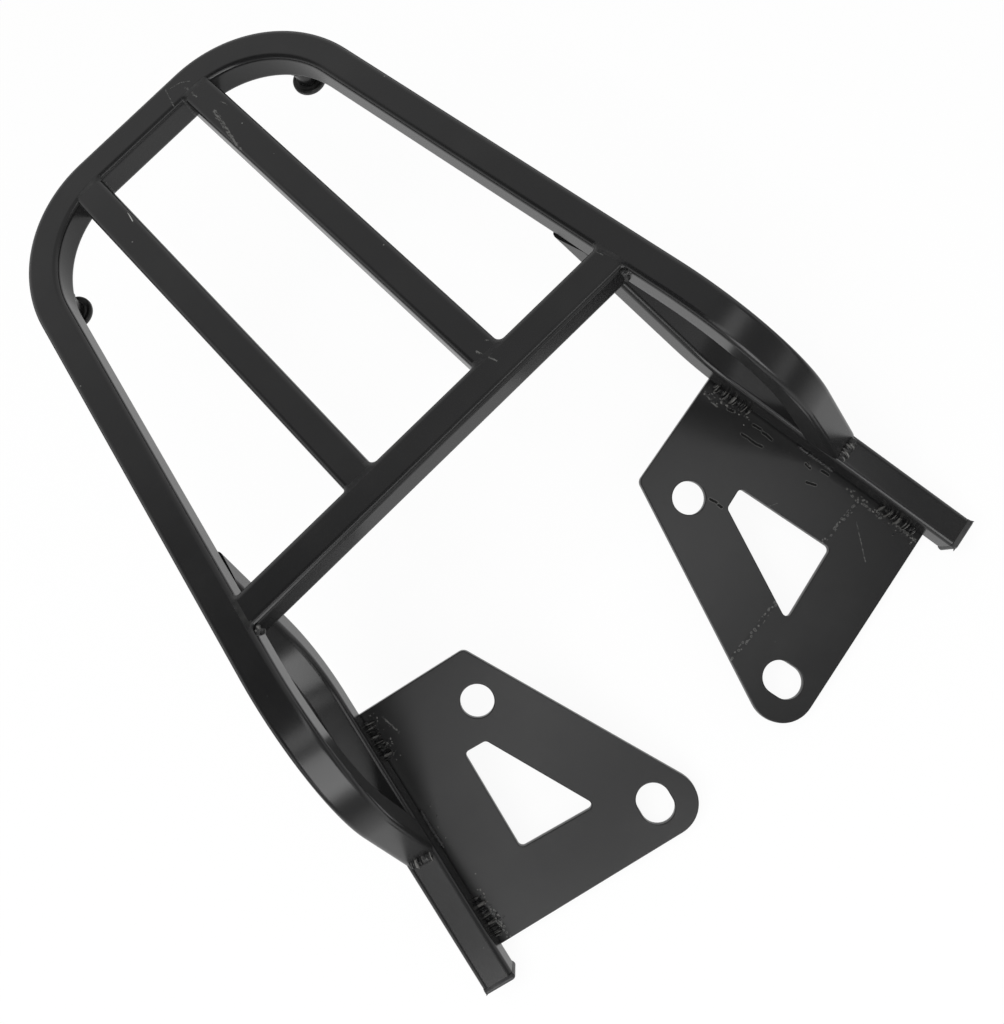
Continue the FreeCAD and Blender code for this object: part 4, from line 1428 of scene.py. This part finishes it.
class Studio:
    """The floor, the surround, the lamps and the camera."""

    focal_px = 1305.55
    image = (1004, 1024)
    optical_centre = (504.47, 504.21)
    eye = (-19.580, -238.897, 496.997)
    rows = ((0.723315, -0.653701, -0.222465), (-0.689495, -0.666204, -0.284199),
            (0.037574, 0.358954, -0.932599))  # the camera's right, down and ahead
    floor_level = -0.1562
    floor_half = 3.0
    floor_colour = (0.85, 0.85, 0.85, 1.0)
    floor_white = 0.93
    near_shade, far_shade = 0.27, 0.56
    fade_from, fade_to = 0.30, 0.60
    shade_way = (-0.5, 0.0, 0.866)
    lamps = (Lamp("overhead_lamp", (-100.0, 72.0), 1.6, (1.2, 1.2), 22.0, mirrored=False),
             Lamp("left_front_lamp", (-154.0, 18.0), 1.3, (0.75, 0.75), 5.6),
             Lamp("front_strip_lamp", (180.0, 54.0), 1.4, (1.55, 0.30), 3.0))

    def floor(self) -> None:
        """A wide pale floor that the camera sees as nearly white, its shadow included.

        Reflections see it white under the rack, and darker with the distance from it.
        """
        corners = np.array([[-1, -1, 0], [0, -1, 0], [1, -1, 0], [-1, 0, 0], [0, 0, 0], [1, 0, 0],
                            [-1, 1, 0], [0, 1, 0], [1, 1, 0]]) * self.floor_half
        faces = [[k, k + 1, k + 4, k + 3] for k in (0, 1, 3, 4)]
        mesh = bpy.data.meshes.new("floor")
        mesh.from_pydata(corners + UP * self.floor_level, [], faces)
        floor = bpy.data.objects.new("floor", mesh)
        bpy.context.scene.collection.objects.link(floor)
        shader = Shader.named("pale_floor")
        seen = shader.node("ShaderNodeLightPath", {}, {}, "Is Camera Ray")
        mirrored = shader.node("ShaderNodeLightPath", {}, {}, "Is Glossy Ray")
        away = shader.node("ShaderNodeVectorMath", {"operation": "LENGTH"}, {0: shader.place()}, "Value")
        shade = mirrored * (self.near_shade + away.step(self.fade_from, self.fade_to) * self.far_shade)
        shown = shader.blend(shade, WHITE[:3], (0.0, 0.0, 0.0))
        matt = shader.node("ShaderNodeBsdfDiffuse", {}, {"Color": self.floor_colour})
        glow = shader.node("ShaderNodeEmission", {}, {"Color": shown, "Strength": 1.0})
        share = seen * self.floor_white + mirrored
        shader.surface(shader.node("ShaderNodeMixShader", {}, {0: share, 1: matt, 2: glow}))
        shader.owner.cycles.emission_sampling = "NONE"
        mesh.materials.append(shader.owner)

    def world(self) -> None:
        """The studio's surround: white to the camera, pale at the horizon, dark by the camera.

        Its strength rises from the top to the middle of the rear wall, is less towards the front,
        and falls to nothing in a round patch about one direction. A pale band follows the horizon.
        """
        bpy.context.scene.world = bpy.data.worlds.new("surround")
        shader = Shader(bpy.context.scene.world, "ShaderNodeOutputWorld")
        way = shader.node("ShaderNodeTexCoord", {}, {}, "Generated")
        height, rear = (shader.node("ShaderNodeSeparateXYZ", {}, {0: way}, axis) for axis in ("Z", "Y"))
        toward = shader.vector("DOT_PRODUCT", way, self.shade_way, "Value")
        wall = height.step(0.6, 0.9, 0.78, 0.45) * rear.step(-0.5, -0.1, 0.3)
        wall = wall * toward.step(0.77, 0.87, 1.0, 0.0)
        horizon = height.step(0.05, 0.28, 0.75, 0.0)
        soft = shader.node("ShaderNodeBackground", {}, {"Color": WHITE, "Strength": wall + horizon})
        white = shader.node("ShaderNodeBackground", {}, {"Color": WHITE, "Strength": 1.0})
        seen = shader.node("ShaderNodeLightPath", {}, {}, "Is Camera Ray")
        shader.surface(shader.node("ShaderNodeMixShader", {}, {0: seen, 1: soft, 2: white}))

    def camera(self) -> None:
        """The camera at the photograph's viewing angle."""
        data = bpy.data.cameras.new("camera")
        data.sensor_fit = "HORIZONTAL"
        data.sensor_width = 36.0
        width, height = self.image
        data.lens = self.focal_px * data.sensor_width / width
        data.shift_x = (width / 2 - self.optical_centre[0]) / width
        data.shift_y = (self.optical_centre[1] - height / 2) / width
        data.clip_start, data.clip_end = 0.01, 50.0
        camera = bpy.data.objects.new("camera", data)
        right, down, ahead = (np.array(row) for row in self.rows)
        turn = Matrix([[right[i], -down[i], -ahead[i]] for i in range(3)]).to_4x4()
        camera.matrix_world = Matrix.Translation([c * MM for c in self.eye]) @ turn
        bpy.context.scene.collection.objects.link(camera)
        bpy.context.scene.camera = camera

    def build(self) -> None:
        """Everything around the rack."""
        self.floor()
        self.world()
        for lamp in self.lamps:
            lamp.hang()
        self.camera()
        bpy.context.scene.view_settings.view_transform = "Standard"


def on_deck(first: tuple[float, float], last: tuple[float, float], width: float) -> Mark:
    """A mark on the deck between two points given by x and y, in millimetres."""
    return Mark(np.array([*first, 0.0]), np.array([*last, 0.0]), width)


def deck_paint() -> bpy.types.Material:
    """The paint of the hoop, the crossbar and the bars, with the marks that the tops show."""
    scuffs = (on_deck((33.0, 200.0), (28.4, 174.0), 3.6), on_deck((31.5, 222.5), (32.0, 214.0), 2.2),
              on_deck((23.9, 230.0), (20.0, 215.0), 1.2), on_deck((37.4, 11.4), (40.6, 2.0), 2.0),
              on_deck((43.6, 12.8), (44.4, 11.6), 1.4), on_deck((38.5, 202.0), (39.6, 198.0), 1.0),
              on_deck((26.0, 228.5), (31.5, 227.0), 0.7), on_deck((31.5, 227.0), (35.5, 223.5), 0.7),
              on_deck((103.6, 8.0), (104.6, 3.6), 0.8), on_deck((-22.0, 216.9), (24.0, 218.9), 0.5))
    scratches = (on_deck((-29.4, 195.0), (-31.2, 185.5), 0.45),)
    return BlackPaint("black_paint", scuffs=scuffs, scratches=scratches).make()


def plate_paint(rack: Rack) -> bpy.types.Material:
    """The paint of the plates, with their rows of pits and their dented places beside the stitches, darkened
    inside by painted shade.
    """
    top = -rack.sizes.tube

    def row(side: Side, first: tuple[float, float], last: tuple[float, float], width: float) -> Mark:
        rail = rack.rails[side]
        return Mark(rail.seat(*first, top), rail.seat(*last, top), width)

    pits = (row(Side.RIGHT, (9.5, 121.0), (5.0, 84.0), 2.2),
            row(Side.RIGHT, (1.5, 50.0), (-3.9, 20.0), 2.2),
            row(Side.RIGHT, (3.4, 18.8), (-16.5, 20.9), 3.0),
            row(Side.LEFT, (-22.0, 21.0), (-38.0, 21.0), 2.6))
    scuffs = (row(Side.RIGHT, (-26.0, 20.0), (-38.0, 21.5), 3.6),
              row(Side.RIGHT, (-8.0, 30.0), (-22.0, 44.0), 0.9),
              row(Side.RIGHT, (89.0, 19.0), (80.0, 21.0), 2.4),
              row(Side.LEFT, (84.0, 23.0), (74.0, 26.0), 2.0),
              row(Side.RIGHT, (42.0, 60.0), (30.0, 44.0), 0.8))
    scratches = (row(Side.RIGHT, (18.0, 76.0), (13.0, 68.0), 0.22),)
    chip_width = 1.1
    spots = {Side.RIGHT: ((60.4, 18.5, 56.2, 18.1), (54.6, 19.0, 52.6, 19.1), (52.8, 18.8, 48.8, 19.6),
                          (62.8, 25.5, 59.0, 25.4), (58.4, 25.5, 54.9, 25.6), (54.3, 25.7, 51.2, 25.1),
                          (74.9, 18.9, 71.8, 18.3), (23.2, 27.4, 18.7, 26.0), (28.3, 20.1, 25.4, 20.6),
                          (19.9, 18.4, 16.0, 18.3), (59.1, 60.9, 55.5, 60.5), (54.2, 61.0, 52.1, 61.1)),
             Side.LEFT: ((-22.9, 16.3, -27.3, 17.0), (-28.2, 17.6, -35.3, 18.0))}
    chips = tuple(row(side, spot[:2], spot[2:], chip_width) for side, group in spots.items() for spot in group)
    return BlackPaint("plate_paint", scuffs=scuffs, scratches=scratches, pits=pits, chips=chips,
                      dusty=(0.0135, 0.0135, 0.0135), roughness=0.26).make()


def dress(objects: Sequence[bpy.types.Object], material: bpy.types.Material) -> None:
    """Gives every one of the objects one material."""
    for item in objects:
        item.data.materials.clear()
        item.data.materials.append(material)


def main() -> None:
    """Builds, dresses and lights the rack."""
    logging.basicConfig(level=logging.INFO, format="%(message)s")
    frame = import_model()
    rack = Rack(Sizes())
    dress(TubeWork(rack).build() + PostWork(rack).posts(), deck_paint())
    dress(PlateWork(rack, frame["nodes"]).build(), plate_paint(rack))
    dress(WeldWork(rack).build(), WeldPaint().make())
    cap_plastic = MouldedPlastic("cap_plastic", (0.020, 0.020, 0.021), (0.040, 0.040, 0.040), 0.42)
    dress(CapWork(rack).build(), cap_plastic.make())
    foot_rubber = MouldedPlastic("foot_rubber", (0.008, 0.008, 0.008), (0.014, 0.014, 0.014), 0.38)
    dress(PostWork(rack).feet(), foot_rubber.make())
    Studio().build()


if __name__ == "__main__":
    main()
